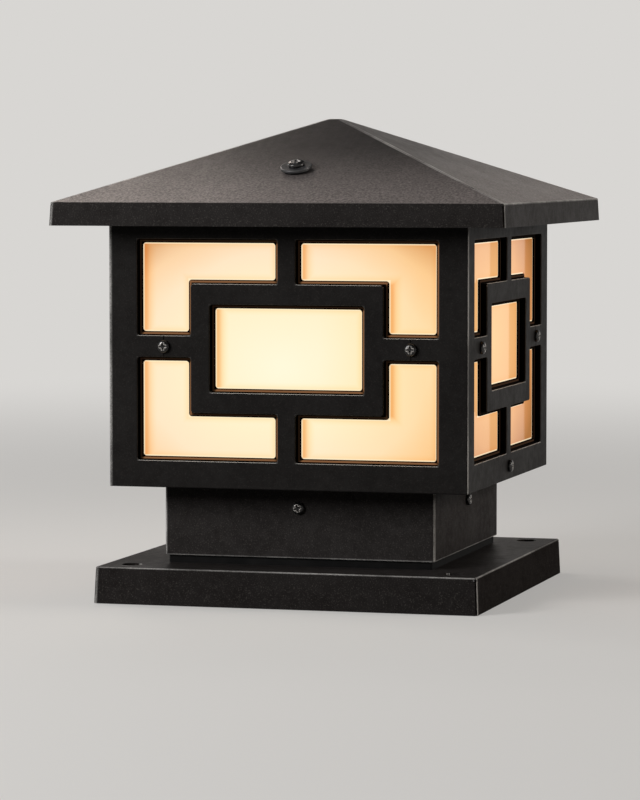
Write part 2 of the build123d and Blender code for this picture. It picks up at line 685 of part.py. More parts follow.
def lamp_holder():
    """Porcelain screw holder with a round foot."""
    foot = HOLDER_FOOT / 2
    body = HOLDER_WIDTH / 2
    bore = SHELL_WIDTH / 2
    shoulder = floor_top + HOLDER_FOOT_HEIGHT
    points = [(0, floor_top), (foot, floor_top), (foot, shoulder), (body, shoulder + HOLDER_SHOULDER),
              (body, holder_top), (bore, holder_top), (bore, holder_floor), (0, holder_floor)]
    profile = make_face(Polyline(*points, close=True))
    rounds = [v for v in profile.vertices() if v.X > bore + 0.1 and v.Y > floor_top + 0.1]
    holder = turned(fillet(rounds, HOLDER_ROUND))
    for x, y, z in holder_screw_points():
        holder -= drill(M4 + 2 * HOLE_EASE, (x, y, z), (0, 0, 1), HOLDER_HEIGHT)
        holder -= drill(M4_HEAD + 2 * HOLE_EASE, (x, y, z + HOLDER_FOOT_HEIGHT / 2), (0, 0, 1), HOLDER_HEIGHT)
    return holder


def holder_shell():
    """Brass shell that takes the bulb's cap."""
    outer = SHELL_WIDTH / 2 - CEMENT_GAP / 4
    height = HOLDER_HEIGHT - HOLDER_FLOOR - SHELL_SINK
    tube = Pos(0, 0, holder_floor + height / 2) * Cylinder(outer, height)
    return tube - Pos(0, 0, holder_floor + height / 2) * Cylinder(SHELL_WIDTH / 2 - SHELL_WALL, height)


def holder_contact():
    """Sprung centre contact on the holder's floor."""
    base = Pos(0, 0, holder_floor + CONTACT_HEIGHT / 2) * Cylinder(CONTACT_WIDTH / 2, CONTACT_HEIGHT)
    return fillet(level_edges(base, holder_floor + CONTACT_HEIGHT), CONTACT_HEIGHT / 3)


def holder_screws():
    """Screws that hold the lamp holder on the floor pan."""
    seat = HOLDER_FOOT_HEIGHT / 2
    screw = pan_screw(M4, M4_HEAD, M4_HEAD_HEIGHT, seat + FLOOR_SHEET + SCREW_TAIL)
    return group(Pos(x, y, z + seat) * screw for x, y, z in holder_screw_points())


def globe_profile(inset):
    """Half outline of the bulb's glass, drawn in by an inset."""
    radius = BULB_GLOBE / 2 - inset
    neck = BULB_NECK / 2 - inset
    foot = bulb_cap_top - BULB_NECK_SINK
    slant = radius * sqrt(0.5)
    join = (slant, bulb_centre - slant)
    stem = Polyline((0, foot), (neck, foot), (neck, bulb_cap_top))
    flank = Spline((neck, bulb_cap_top), join, tangents=[(0, 1), (1, 1)])
    crown = ThreePointArc(join, (radius, bulb_centre), (0, bulb_centre + radius))
    axis_line = Line((0, bulb_centre + radius), (0, foot))
    return make_face([stem, flank, crown, axis_line])


def bulb_globe():
    """Blown glass envelope, open at its foot."""
    return turned(globe_profile(0)) - turned(globe_profile(BULB_GLASS))


def bulb_cap():
    """Thin metal screw cap round the glass neck."""
    middle = (bulb_cap_foot + bulb_cap_top) / 2
    shell = Pos(0, 0, middle) * Cylinder(bulb_cap_half, BULB_CAP_HEIGHT)
    return shell - Pos(0, 0, middle) * Cylinder(bulb_cap_half - BULB_CAP_WALL, BULB_CAP_HEIGHT)


def bulb_insulator():
    """Dark glass button that closes the cap's foot."""
    rim = bulb_cap_half - BULB_CAP_WALL
    tip = bulb_tip_level + BULB_TIP_HEIGHT
    points = [(0, tip), (BULB_TIP_WIDTH / 2, tip), (rim, bulb_cap_foot),
              (rim, bulb_cap_foot + BULB_TIP_HEIGHT), (0, bulb_cap_foot + BULB_TIP_HEIGHT)]
    return turned(make_face(Polyline(*points, close=True)))


def bulb_tip():
    """Solder tip under the insulator."""
    button = Pos(0, 0, bulb_tip_level + BULB_TIP_HEIGHT / 2) * Cylinder(BULB_TIP_WIDTH / 2, BULB_TIP_HEIGHT)
    return fillet(level_edges(button, bulb_tip_level), BULB_TIP_HEIGHT / 2)


def terminal_points(level):
    """Places of the clamp screws on the terminal block."""
    across = [(i - (TERMINAL_POLES - 1) / 2) * TERMINAL_PITCH for i in range(TERMINAL_POLES)]
    rows = (-TERMINAL_ROW / 2, TERMINAL_ROW / 2)
    return [(TERMINAL_PLACE[0] + x, TERMINAL_PLACE[1] + y, level) for x in across for y in rows]


def terminal_block():
    """Ceramic block with a wire hole and a screw well at both ends of every pole."""
    x, y = TERMINAL_PLACE
    top = floor_top + TERMINAL_HEIGHT
    block = Box(TERMINAL_LENGTH, TERMINAL_WIDTH, TERMINAL_HEIGHT)
    block = Pos(x, y, floor_top + TERMINAL_HEIGHT / 2) * fillet(block.edges().filter_by(Axis.Z), TERMINAL_ROUND)
    wire_level = top - TERMINAL_WELL_DEPTH - TERMINAL_WIRE
    for px, py, pz in terminal_points(top):
        outward = 1 if py > y else -1
        block -= drill(TERMINAL_WELL, (px, py, pz), (0, 0, -1), TERMINAL_WELL_DEPTH)
        start = (px, y + outward * TERMINAL_WIDTH / 2, wire_level)
        block -= drill(TERMINAL_WIRE, start, (0, -outward, 0), TERMINAL_ROW / 2)
    block -= drill(M4 + 2 * HOLE_EASE, (x, y, floor_top), (0, 0, 1), TERMINAL_HEIGHT)
    return block


def terminal_screws():
    """Clamp screws in the wells of the terminal block."""
    level = floor_top + TERMINAL_HEIGHT - TERMINAL_WELL_DEPTH
    radius = TERMINAL_WELL / 2 - HOLE_EASE
    screw = Pos(0, 0, CLAMP_SCREW_HEIGHT / 2) * Cylinder(radius, CLAMP_SCREW_HEIGHT)
    return group(Pos(*p) * screw for p in terminal_points(level))


def terminal_fixing_screw():
    """Screw through the middle of the terminal block into the floor pan."""
    screw = pan_screw(M4, M4_HEAD, M4_HEAD_HEIGHT, TERMINAL_HEIGHT + FLOOR_SHEET + SCREW_TAIL)
    return Pos(*TERMINAL_PLACE, floor_top + TERMINAL_HEIGHT) * screw


def earth_screw():
    """Earth terminal screw on the floor pan."""
    screw = pan_screw(M4, M4_HEAD, M4_HEAD_HEIGHT, EARTH_WASHER_HEIGHT + FLOOR_SHEET + SCREW_TAIL)
    return Pos(*EARTH_PLACE, floor_top + EARTH_WASHER_HEIGHT) * screw


def earth_washer():
    """Washer under the earth screw."""
    ring = flat_washer(EARTH_WASHER, M4 + HOLE_EASE, EARTH_WASHER_HEIGHT, EARTH_WASHER_HEIGHT / 3)
    return Pos(*EARTH_PLACE, floor_top) * ring


def cable_grommet():
    """Grooved rubber ring in the floor pan that the supply cable comes up through."""
    outer = GROMMET_WIDTH / 2
    waist = GROMMET_HOLE / 2 - CEMENT_GAP / 2
    bore = GROMMET_BORE / 2
    low = lantern_foot - GROMMET_LIP
    high = floor_top + GROMMET_LIP
    points = [(bore, low), (outer, low), (outer, lantern_foot), (waist, lantern_foot),
              (waist, floor_top), (outer, floor_top), (outer, high), (bore, high)]
    profile = make_face(Polyline(*points, close=True))
    rims = [v for v in profile.vertices() if v.X > outer - 0.1 and (v.Y < low + 0.1 or v.Y > high - 0.1)]
    return Pos(*GROMMET_PLACE, 0) * turned(fillet(rims, GROMMET_LIP / 2))


def all_parts():
    """Every named piece of the light."""
    parts = {
        "base_tray": base_tray(),
        "base_gasket": base_gasket(),
        "neck_sleeve": neck_sleeve(),
        "neck_bolts": neck_bolts(),
        "neck_nuts": neck_nuts(),
        "neck_collar": neck_collar(),
        "neck_screws": neck_screws(),
        "collar_screws": collar_screws(),
        "floor_pan": floor_pan(),
        "floor_side_screws": floor_side_screws(),
        "floor_inner_screws": floor_inner_screws(),
        "lattice_screws": lattice_screws(),
        "diffuser_clips": diffuser_clips(),
        "lattice_nuts": lattice_nuts(),
        "corner_bracket_screws": corner_bracket_screws(),
        "roof_cap": roof_cap(),
        "roof_gasket": roof_gasket(),
        "roof_screws": roof_screws(),
        "roof_washers": roof_washers(),
        "roof_seals": roof_seals(),
        "roof_nuts": roof_nuts(),
        "front_roof_clip": roof_clip(0),
        "back_roof_clip": roof_clip(2),
        "lamp_holder": lamp_holder(),
        "holder_shell": holder_shell(),
        "holder_contact": holder_contact(),
        "holder_screws": holder_screws(),
        "bulb_globe": bulb_globe(),
        "bulb_cap": bulb_cap(),
        "bulb_insulator": bulb_insulator(),
        "bulb_tip": bulb_tip(),
        "terminal_block": terminal_block(),
        "terminal_screws": terminal_screws(),
        "terminal_fixing_screw": terminal_fixing_screw(),
        "earth_screw": earth_screw(),
        "earth_washer": earth_washer(),
        "cable_grommet": cable_grommet(),
    }
    for index, side in enumerate(SIDES):
        parts[side + "_panel"] = lattice_panel(index)
        parts[side + "_diffuser"] = diffuser(index)
        following = SIDES[(index + 1) % 4]
        parts[side + "_" + following + "_bracket"] = corner_bracket(index)
    return parts


os.makedirs("parts", exist_ok=True)
for name, part in all_parts().items():
    export_step(part, os.path.join("parts", name + ".step"))
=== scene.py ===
"""Looks of a square pillar light: finishes of its cast and folded parts, its screws, lamp and studio."""
import json
import logging
import math
from collections.abc import Callable, Iterable, Mapping, Sequence
from dataclasses import dataclass, field, replace
from enum import Enum
from functools import partial

import bpy
import numpy as np
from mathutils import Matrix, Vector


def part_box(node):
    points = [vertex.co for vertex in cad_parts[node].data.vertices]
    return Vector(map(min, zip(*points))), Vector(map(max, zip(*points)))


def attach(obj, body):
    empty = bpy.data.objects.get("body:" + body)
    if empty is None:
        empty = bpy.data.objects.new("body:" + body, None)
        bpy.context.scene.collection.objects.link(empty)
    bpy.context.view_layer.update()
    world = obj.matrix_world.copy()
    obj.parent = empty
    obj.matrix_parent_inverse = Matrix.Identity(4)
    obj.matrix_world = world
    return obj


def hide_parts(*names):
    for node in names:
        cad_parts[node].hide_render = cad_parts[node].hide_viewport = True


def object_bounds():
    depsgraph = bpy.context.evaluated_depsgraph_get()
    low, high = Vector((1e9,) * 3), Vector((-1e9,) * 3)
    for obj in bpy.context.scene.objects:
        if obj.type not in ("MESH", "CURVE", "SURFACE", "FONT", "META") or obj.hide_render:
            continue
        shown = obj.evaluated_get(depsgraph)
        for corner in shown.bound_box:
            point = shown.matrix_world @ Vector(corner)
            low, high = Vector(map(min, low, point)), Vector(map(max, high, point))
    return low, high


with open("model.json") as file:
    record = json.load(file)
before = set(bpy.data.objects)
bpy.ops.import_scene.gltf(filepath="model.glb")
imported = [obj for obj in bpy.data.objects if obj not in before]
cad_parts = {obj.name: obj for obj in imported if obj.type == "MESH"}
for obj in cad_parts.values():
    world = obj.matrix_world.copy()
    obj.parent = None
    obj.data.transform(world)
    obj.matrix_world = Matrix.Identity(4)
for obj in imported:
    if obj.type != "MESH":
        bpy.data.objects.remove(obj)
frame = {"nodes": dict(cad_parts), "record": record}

CAD_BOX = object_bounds()
LOG = logging.getLogger("pillar_light")
MM = 0.001
OUTWARD, INWARD, UPWARD = (0, -1, 0), (0, 1, 0), (0, 0, 1)
Material = bpy.types.Material
Socket = bpy.types.NodeSocket
Lay = Callable[..., bpy.types.NodeOutputs]
Span = tuple[float, float]
Triple = tuple[float, float, float]
Stops = tuple[tuple[float, str], ...]


class Quarter(Enum):
    """Sides of the light, as quarter turns from the front."""

    FRONT = 0
    RIGHT = 1
    BACK = 2
    LEFT = 3


ENDS = (Quarter.FRONT, Quarter.BACK)
FLANKS = (Quarter.RIGHT, Quarter.LEFT)


def linear(code: str) -> tuple[float, float, float, float]:
    """Turn an sRGB hex colour into linear RGBA.

    Args:
        code: Colour such as "#1e1d1c".

    Returns:
        Linear red, green, blue and an alpha of one.
    """
    values = np.array([int(code[i:i + 2], 16) for i in (1, 3, 5)]) / 255.0
    low = values / 12.92
    high = ((values + 0.055) / 1.055) ** 2.4
    return (*np.where(values <= 0.04045, low, high).tolist(), 1.0)


def per_mm(size: float) -> float:
    """Texture scale, on Object coordinates in metres, whose cells are this many millimetres wide."""
    return 1.0 / (size * MM)


def add(tree: bpy.types.NodeTree, kind: str, inputs: Mapping | Sequence = (), ramp: Stops = (),
        **settings: object) -> bpy.types.NodeOutputs:
    """Add one node with its settings and links.

    Args:
        tree: Node tree that gets the node.
        kind: Type of the node, such as "Math" for ShaderNodeMath.
        inputs: Values to set or sockets to link, in the order of the inputs or by their name or index.
        ramp: Positions and hex colours of a colour ramp.
        settings: Attributes of the node.

    Returns:
        The outputs of the new node.
    """
    node = tree.nodes.new("ShaderNode" + kind)
    for name, value in settings.items():
        setattr(node, name, value)
    for index, (position, code) in enumerate(ramp):
        stops = node.color_ramp.elements
        stop = stops[index] if index < len(stops) else stops.new(position)
        stop.position = position
        stop.color = linear(code)
    for key, value in inputs.items() if isinstance(inputs, Mapping) else enumerate(inputs):
        if isinstance(value, Socket):
            tree.links.new(value, node.inputs[key])
        else:
            node.inputs[key].default_value = value
    return node.outputs


@dataclass(frozen=True)
class Finish:
    """A real material and the way its surface was made."""

    name: str

    def paint(self, lay: Lay) -> dict[str, object]:
        """Lay the nodes of the pattern.

        Args:
            lay: Adds a node to the material's tree.

        Returns:
            Values and sockets for the shader.
        """
        raise NotImplementedError

    def surface(self, lay: Lay, shader: Socket) -> Socket:
        """What the output shows: the shader alone, unless a finish adds to it."""
        return shader

    def build(self) -> Material:
        """Build the finish.

        Returns:
            The node material.
        """
        material = bpy.data.materials.new(self.name)
        material.use_nodes = True
        material.node_tree.nodes.clear()
        lay = partial(add, material.node_tree)
        shader = lay("BsdfPrincipled", self.paint(lay))[0]
        lay("OutputMaterial", {"Surface": self.surface(lay, shader)})
        return material


@dataclass(frozen=True)
class Spot:
    """Where a shaded point lies on a square body: node sockets, in metres."""

    place: Socket
    lateral: Socket
    inner: Socket
    outer: Socket
    level: Socket
    fore: Socket
    upward: Socket
    turn: Socket

    @classmethod
    def find(cls, lay: Lay) -> "Spot":
        """Work the place out from Object coordinates.

        The outer and inner distances are the greater and the lesser of |x| and |y|, and the lateral one is
        the signed coordinate that belongs to the lesser. Fore is one on the front and the back, and zero on
        the flanks. Upward is the height of the normal. The turn is the height of the normal crossed with the
        place, below zero on the left half of a side that is seen from outside.

        Args:
            lay: Adds a node to the material's tree.

        Returns:
            The sockets of the place.
        """
        coordinates = lay("TexCoord")
        place, normal = coordinates["Object"], coordinates["Normal"]
        crossed = lay("VectorMath", (normal, place), operation="CROSS_PRODUCT")[0]
        upward, turn = (lay("SeparateXYZ", (vector,))[2] for vector in (normal, crossed))
        x, y, level = lay("SeparateXYZ", (place,))
        size = lay("VectorMath", (place,), operation="ABSOLUTE")[0]
        flat = lay("SeparateXYZ", (size,))[:2]
        inner, outer = (lay("Math", flat, operation=kind)[0] for kind in ("MINIMUM", "MAXIMUM"))
        fore = lay("Math", flat[::-1], operation="GREATER_THAN")[0]
        lateral = lay("Mix", {0: fore, 2: y, 3: x})[0]
        return cls(place, lateral, inner, outer, level, fore, upward, turn)


@dataclass(frozen=True)
class Lattice:
    """Half sizes and levels of the lattice's windows at the edge of their lip, in metres."""

    window: Span
    window_level: float
    ring: Span
    ring_inside: Span
    ring_level: float
    arms: Span
    arm_level: float
    skew: float = 0.0022

    def gap(self, lay: Lay, spot: Spot, skew: float = 0.0, lift: float = 0.0, ease: float = 0.0) -> Socket:
        """Distance from a point of the panel's plane to the nearest bar, below zero on a bar.

        Outside the ring it is the least of the gaps to the frame, the two pairs of arms and the ring.
        Inside the ring it is the gap to the ring alone.

        Args:
            lay: Adds a node to the material's tree.
            spot: Place of the point.
            skew: Sideways shift of the pattern.
            lift: Upward shift of the pattern.
            ease: Room added above and below every window.

        Returns:
            The gap as a socket.
        """
        centres = ((spot.lateral, skew), (spot.level, self.window_level + lift),
                   (spot.level, self.ring_level + lift), (spot.level, self.arm_level + lift))
        offsets = [lay("Math", pair, operation="SUBTRACT")[0] for pair in centres]
        side, pane, ring, arm = (lay("Math", (offset,), operation="ABSOLUTE")[0] for offset in offsets)
        limits = (("MINIMUM", (self.window[0], side), (self.window[1] + ease, pane)),
                  ("MINIMUM", (side, self.arms[0]), (arm, self.arms[1] - ease)),
                  ("MAXIMUM", (side, self.ring[0]), (ring, self.ring[1] - ease)),
                  ("MINIMUM", (self.ring_inside[0], side), (self.ring_inside[1] + ease, ring)))
        gap, *others = (
            lay("Math", [lay("Math", pair, operation="SUBTRACT")[0] for pair in pairs], operation=kind)[0]
            for kind, *pairs in limits)
        for kind, other in zip(("MINIMUM", "MINIMUM", "MAXIMUM"), others):
            gap = lay("Math", (gap, other), operation=kind)[0]
        return gap


@dataclass(frozen=True)
class PowderCoat(Finish):
    """Polyester powder sprayed and stoved on aluminium.

    It gives a black skin with a fine grit that breaks up reflections, soft clouds where the film is thicker,
    pale edges that are a painted highlight on a thinner film, and on some parts dust and painted light on
    what faces up. On the panels it paints shade on the window walls and a glow on the lip.
    """

    # Level edges painted pale, on all sides and on the flanks alone: painted highlights.
    edges: tuple[Span, ...] = ()
    flank_edges: tuple[Span, ...] = ()
    shade: str = "#302d2c"
    deep: str = "#282524"
    fleck: str = "#6f6a65"
    # Pale colour of the edges and of the bars' rims: painted highlight, with a little thinner film on edges.
    edge_highlight: str = "#c8c5c1"
    # Pale tone on what faces up: dust, and painted light that brightens the roof low down.
    dust_and_light: str = "#a19793"
    # Near black of the window walls: painted shade.
    wall: str = "#030201"
    # Glow of the lip, dark to warm: painted light from the lit opal.
    lip_glow: tuple[str, str, str] = ("#1a1009", "#3a2717", "#855c3d")
    dust_and_light_amount: float = 0.0
    dust_and_light_levels: Span = (0.0, 1.0)
    streaks: float = 0.0
    salt: float = 0.34
    cloud_mm: float = 42.0
    mottle_mm: float = 6.0
    # The real grit is about 0.3 mm, finer than a pixel, so it is drawn two to three times as coarse.
    grit_mm: float = 0.8
    relief_mm: float = 0.14
    # Dust lies in patches, and rain draws it out along the slope in narrow lanes.
    patch_mm: float = 1.5
    lane_mm: float = 3.0
    run_mm: float = 60.0
    # Width of a pale edge, a painted highlight on a thinner film, and of its palest part, and the width at
    # corners on the ends and on the flanks.
    edge_mm: float = 1.1
    palest_mm: float = 0.3
    corner_mm: float = 1.8
    flank_mm: float = 4.2
    # How far the edges of an open seam lie from the corner, and how far into the seam they are painted pale.
    seam_mm: float = 0.0
    slot_mm: float = 0.12
    roughness: Span = (0.46, 0.54)
    # Shine on faces that stand up and on faces that look up, and the heights of normals between them.
    sheen: Span = (0.032, 0.05)
    slope: Span = (0.55, 0.9)
    # Height of the normal past which a face is level, and the share of a side at which its right begins.
    level_face: float = 0.97
    right_share: float = 0.25
    lattice: Lattice | None = None
    face: float = 0.0
    # Share of the painted highlight on the rims of the bars, elsewhere and at the sills.
    rim: Span = (0.06, 0.9)
    # Depths behind the face at which the walls of a window and its lip begin.
    wall_depth_mm: Span = (0.3, 0.9)
    lip_depth_mm: Span = (4.2, 4.6)
    # Middle and half width, from the lip's edge, of the band of painted glow on the lip and of the bars'
    # painted highlight rim.
    band_mm: Span = (-1.2, 0.6)
    rim_mm: Span = (-2.5, 0.35)
    # How far the windows' walls reach past the lip's edge, with a little to spare.
    opening_mm: float = 3.2

    def paint(self, lay: Lay) -> dict[str, object]:
        """Lay the film, then dust with painted light, pale edges with painted highlights, and windows with
        painted shade and glow.

        Args:
            lay: Adds a node to the material's tree.

        Returns:
            Values and sockets for the shader.
        """
        spot = Spot.find(lay)
        # Noise lies mostly between 0.3 and 0.7, so each range stretches the part of it that is to show.
        cloud, mottle, grit = (
            lay("TexNoise", {"Vector": spot.place, "Scale": per_mm(size), "Detail": detail,
                             "Roughness": 0.6})[0]
            for size, detail in ((self.cloud_mm, 3.0), (self.mottle_mm, 3.0), (self.grit_mm, 1.0)))
        tone = lay("Math", (cloud, mottle), operation="ADD")[0]
        mean = lay("Math", (tone, 0.5), operation="MULTIPLY")[0]
        film = lay("ValToRGB", (mean,), ((0.40, self.deep), (0.60, self.shade)))[0]
        salt = lay("MapRange", (grit, 0.56, 0.76, 0.0, self.salt))[0]
        film = lay("Mix", {0: salt, 6: film, 7: linear(self.fleck)}, data_type="RGBA")[2]
        if self.dust_and_light_amount:
            film = self._dust_and_light(lay, spot, film)
        film = self._edge_highlights(lay, spot, grit, cloud, film)
        gloss = lay("MapRange", (tone, 0.8, 1.2, *self.roughness[::-1]))[0]
        light = {}
        if self.lattice:
            film, gloss, light = self._windows(lay, spot, film, gloss)
        sheen = lay("MapRange", (spot.upward, *self.slope, *self.sheen))[0]
        relief = lay("Math", (mottle, 0.2, grit), operation="MULTIPLY_ADD")[0]
        bump = lay("Bump", {"Height": relief, "Strength": 0.5, "Distance": self.relief_mm * MM})[0]
        return {"Base Color": film, "Roughness": gloss, "Specular IOR Level": sheen, "Normal": bump, **light}

    def _dust_and_light(self, lay: Lay, spot: Spot, film: Socket) -> Socket:
        """Lay thin, patchy dust and painted light on the faces that look up.

        The pale tone thickens low down, partly dust that rain carries and partly painted light near the
        eaves, and faint streaks run down the slope.

        Args:
            lay: Adds a node to the material's tree.
            spot: Place of the point.
            film: Colour so far.

        Returns:
            Colour with dust and painted light.
        """
        lie = lay("MapRange", (spot.upward, *self.slope, 0.0, self.dust_and_light_amount))[0]
        # Heavier low down: dust, and painted light near the eaves.
        low = lay("MapRange", (spot.level, *self.dust_and_light_levels[::-1]), interpolation_type="SMOOTHSTEP")[0]
        patch = lay("TexNoise", {"Vector": spot.place, "Scale": per_mm(self.patch_mm), "Detail": 2.0,
                                 "Roughness": 0.7})[0]
        patch = lay("MapRange", (patch, 0.30, 0.70, 0.15, 0.95))[0]
        lane, run = (lay("Math", (way, per_mm(size)), operation="MULTIPLY")[0]
                     for way, size in ((spot.lateral, self.lane_mm), (spot.outer, self.run_mm)))
        drawn = lay("CombineXYZ", (lane, run))[0]
        wash = lay("TexNoise", {"Vector": drawn, "Scale": 1.0, "Detail": 3.0})[0]
        trail = lay("MapRange", (wash, 0.42, 0.75, 0.0, self.streaks))[0]
        amount = lay("Math", (patch, low, trail), operation="MULTIPLY_ADD")[0]
        amount = lay("Math", (amount, lie), operation="MULTIPLY")[0]
        return lay("Mix", {0: amount, 6: film, 7: linear(self.dust_and_light)}, data_type="RGBA")[2]

    def _edge_highlights(self, lay: Lay, spot: Spot, grit: Socket, cloud: Socket, film: Socket) -> Socket:
        """Pale the film along the body's edges: a painted highlight, with a little thinner film.

        A corner or ridge is where the outer and the inner distance are equal, or half an open seam apart. The
        highlight is painted on the left of every side, so the right keeps its black, as do level faces and
        the sheet's edges inside a seam. On the flanks it reaches further in. A level edge, on all sides or on
        the flanks alone, has its own level and half width, and a point's distance to it is the greater of its
        distances to those two.

        Args:
            lay: Adds a node to the material's tree.
            spot: Place of the point.
            grit: Fine noise that frays the edge.
            cloud: Broad noise that makes the pale edge uneven along an edge.
            film: Colour so far.

        Returns:
            Colour with pale edges: painted highlights on a thinner film.
        """
        reach = spot.outer
        for shift in (spot.inner, self.seam_mm * MM):
            reach = lay("Math", (reach, shift), operation="SUBTRACT")[0]
        slot = lay("Math", (reach, -self.slot_mm * MM), operation="GREATER_THAN")[0]
        narrow = lay("Mix", {0: spot.fore, 2: self.edge_mm / self.flank_mm,
                             3: self.edge_mm / self.corner_mm})[0]
        aside = lay("Math", (spot.turn, spot.outer), operation="DIVIDE")[0]
        flat, right = (lay("Math", pair, operation="GREATER_THAN")[0]
                       for pair in ((spot.upward, self.level_face), (aside, self.right_share)))
        for kind, value in (("MULTIPLY", narrow), ("ADD", flat), ("ADD", right)):
            reach = lay("Math", (reach, value), operation=kind)[0]
        for edges, apart in ((self.edges, 0.0), (self.flank_edges, spot.fore)):
            for level, half in edges:
                rim = lay("Math", (spot.level, level), operation="SUBTRACT")[0]
                rim = lay("Math", (rim,), operation="ABSOLUTE")[0]
                inset = lay("Math", (half, spot.outer), operation="SUBTRACT")[0]
                for kind, value in (("MAXIMUM", inset), ("ADD", apart), ("MINIMUM", reach)):
                    rim = lay("Math", (rim, value), operation=kind)[0]
                reach = rim
        # Share of the pale edge: painted highlight on a thinner film.
        highlight_share = lay("MapRange", (reach, self.edge_mm * MM, self.palest_mm * MM))[0]
        fray = lay("MapRange", (grit, 0.25, 0.65, 0.45))[0]
        uneven_along = lay("MapRange", (cloud, 0.40, 0.58, 0.45, 1.15))[0]
        for share in (fray, uneven_along, slot):
            highlight_share = lay("Math", (highlight_share, share), operation="MULTIPLY")[0]
        return lay("Mix", {0: highlight_share, 6: film, 7: linear(self.edge_highlight)}, data_type="RGBA")[2]

    def _windows(self, lay: Lay, spot: Spot, film: Socket,
                 gloss: Socket) -> tuple[Socket, Socket, dict[str, object]]:
        """Paint highlights on the bars' front rims, painted shade on the window walls and a painted glow on
        the lip.

        The lip's painted glow lies in a band along its middle, which lies well behind the face, more on the
        right and on the sills, and the sills have the palest painted highlights on their rims. The gap to a
        pattern that is moved aside tells which is which.

        Args:
            lay: Adds a node to the material's tree.
            spot: Place of the point.
            film: Colour so far.
            gloss: Roughness so far.

        Returns:
            Colour and roughness with walls in painted shade, and the values of the lip's painted glow.
        """
        away = lay("Math", (spot.level, self.lattice.window_level), operation="SUBTRACT")[0]
        away = lay("Math", (away,), operation="ABSOLUTE")[0]
        held = lay("Math", (away, self.lattice.window[1] + self.opening_mm * MM), operation="LESS_THAN")[0]
        wall, lip = (
            lay("MapRange", (spot.outer, self.face - start * MM, self.face - end * MM),
                interpolation_type="SMOOTHSTEP")[0]
            for start, end in (self.wall_depth_mm, self.lip_depth_mm))
        wall, lip = (lay("Math", (depth, held), operation="MULTIPLY")[0] for depth in (wall, lip))
        gap, skew = self.lattice.gap(lay, spot), self.lattice.skew
        moved = self.lattice.gap(lay, spot, skew), self.lattice.gap(lay, spot, lift=-skew)
        lean, sill = (lay("Math", (other, gap), operation="SUBTRACT")[0] for other in moved)
        tone = lay("Math", (lean, sill), operation="ADD")[0]
        tone = lay("MapRange", (tone, -2 * skew, 2 * skew))[0]
        lip_light = lay("ValToRGB", (tone,), tuple(zip((0.22, 0.5, 0.78), self.lip_glow)))[0]
        band, rim = (lay("Math", (gap, middle * MM, half * MM), operation="COMPARE")[0]
                     for middle, half in (self.band_mm, self.rim_mm))
        rim_highlight_share = lay("MapRange", (sill, 0.0, skew, *self.rim))[0]
        rim, amount = (lay("Math", pair, operation="MULTIPLY")[0] for pair in ((rim, rim_highlight_share), (lip, band)))
        # Painted highlight on the bars' rims, then painted shade on the window walls.
        for share, colour in ((rim, self.edge_highlight), (wall, self.wall)):
            film = lay("Mix", {0: share, 6: film, 7: linear(colour)}, data_type="RGBA")[2]
        gloss = lay("Mix", {0: wall, 2: gloss, 3: 1.0})[0]
        # Painted glow on the lip, from the lit opal behind it.
        glow = lay("Mix", {0: amount, 6: (0, 0, 0, 1), 7: lip_light}, data_type="RGBA")[2]
        return film, gloss, {"Emission Color": glow, "Emission Strength": 1.0}


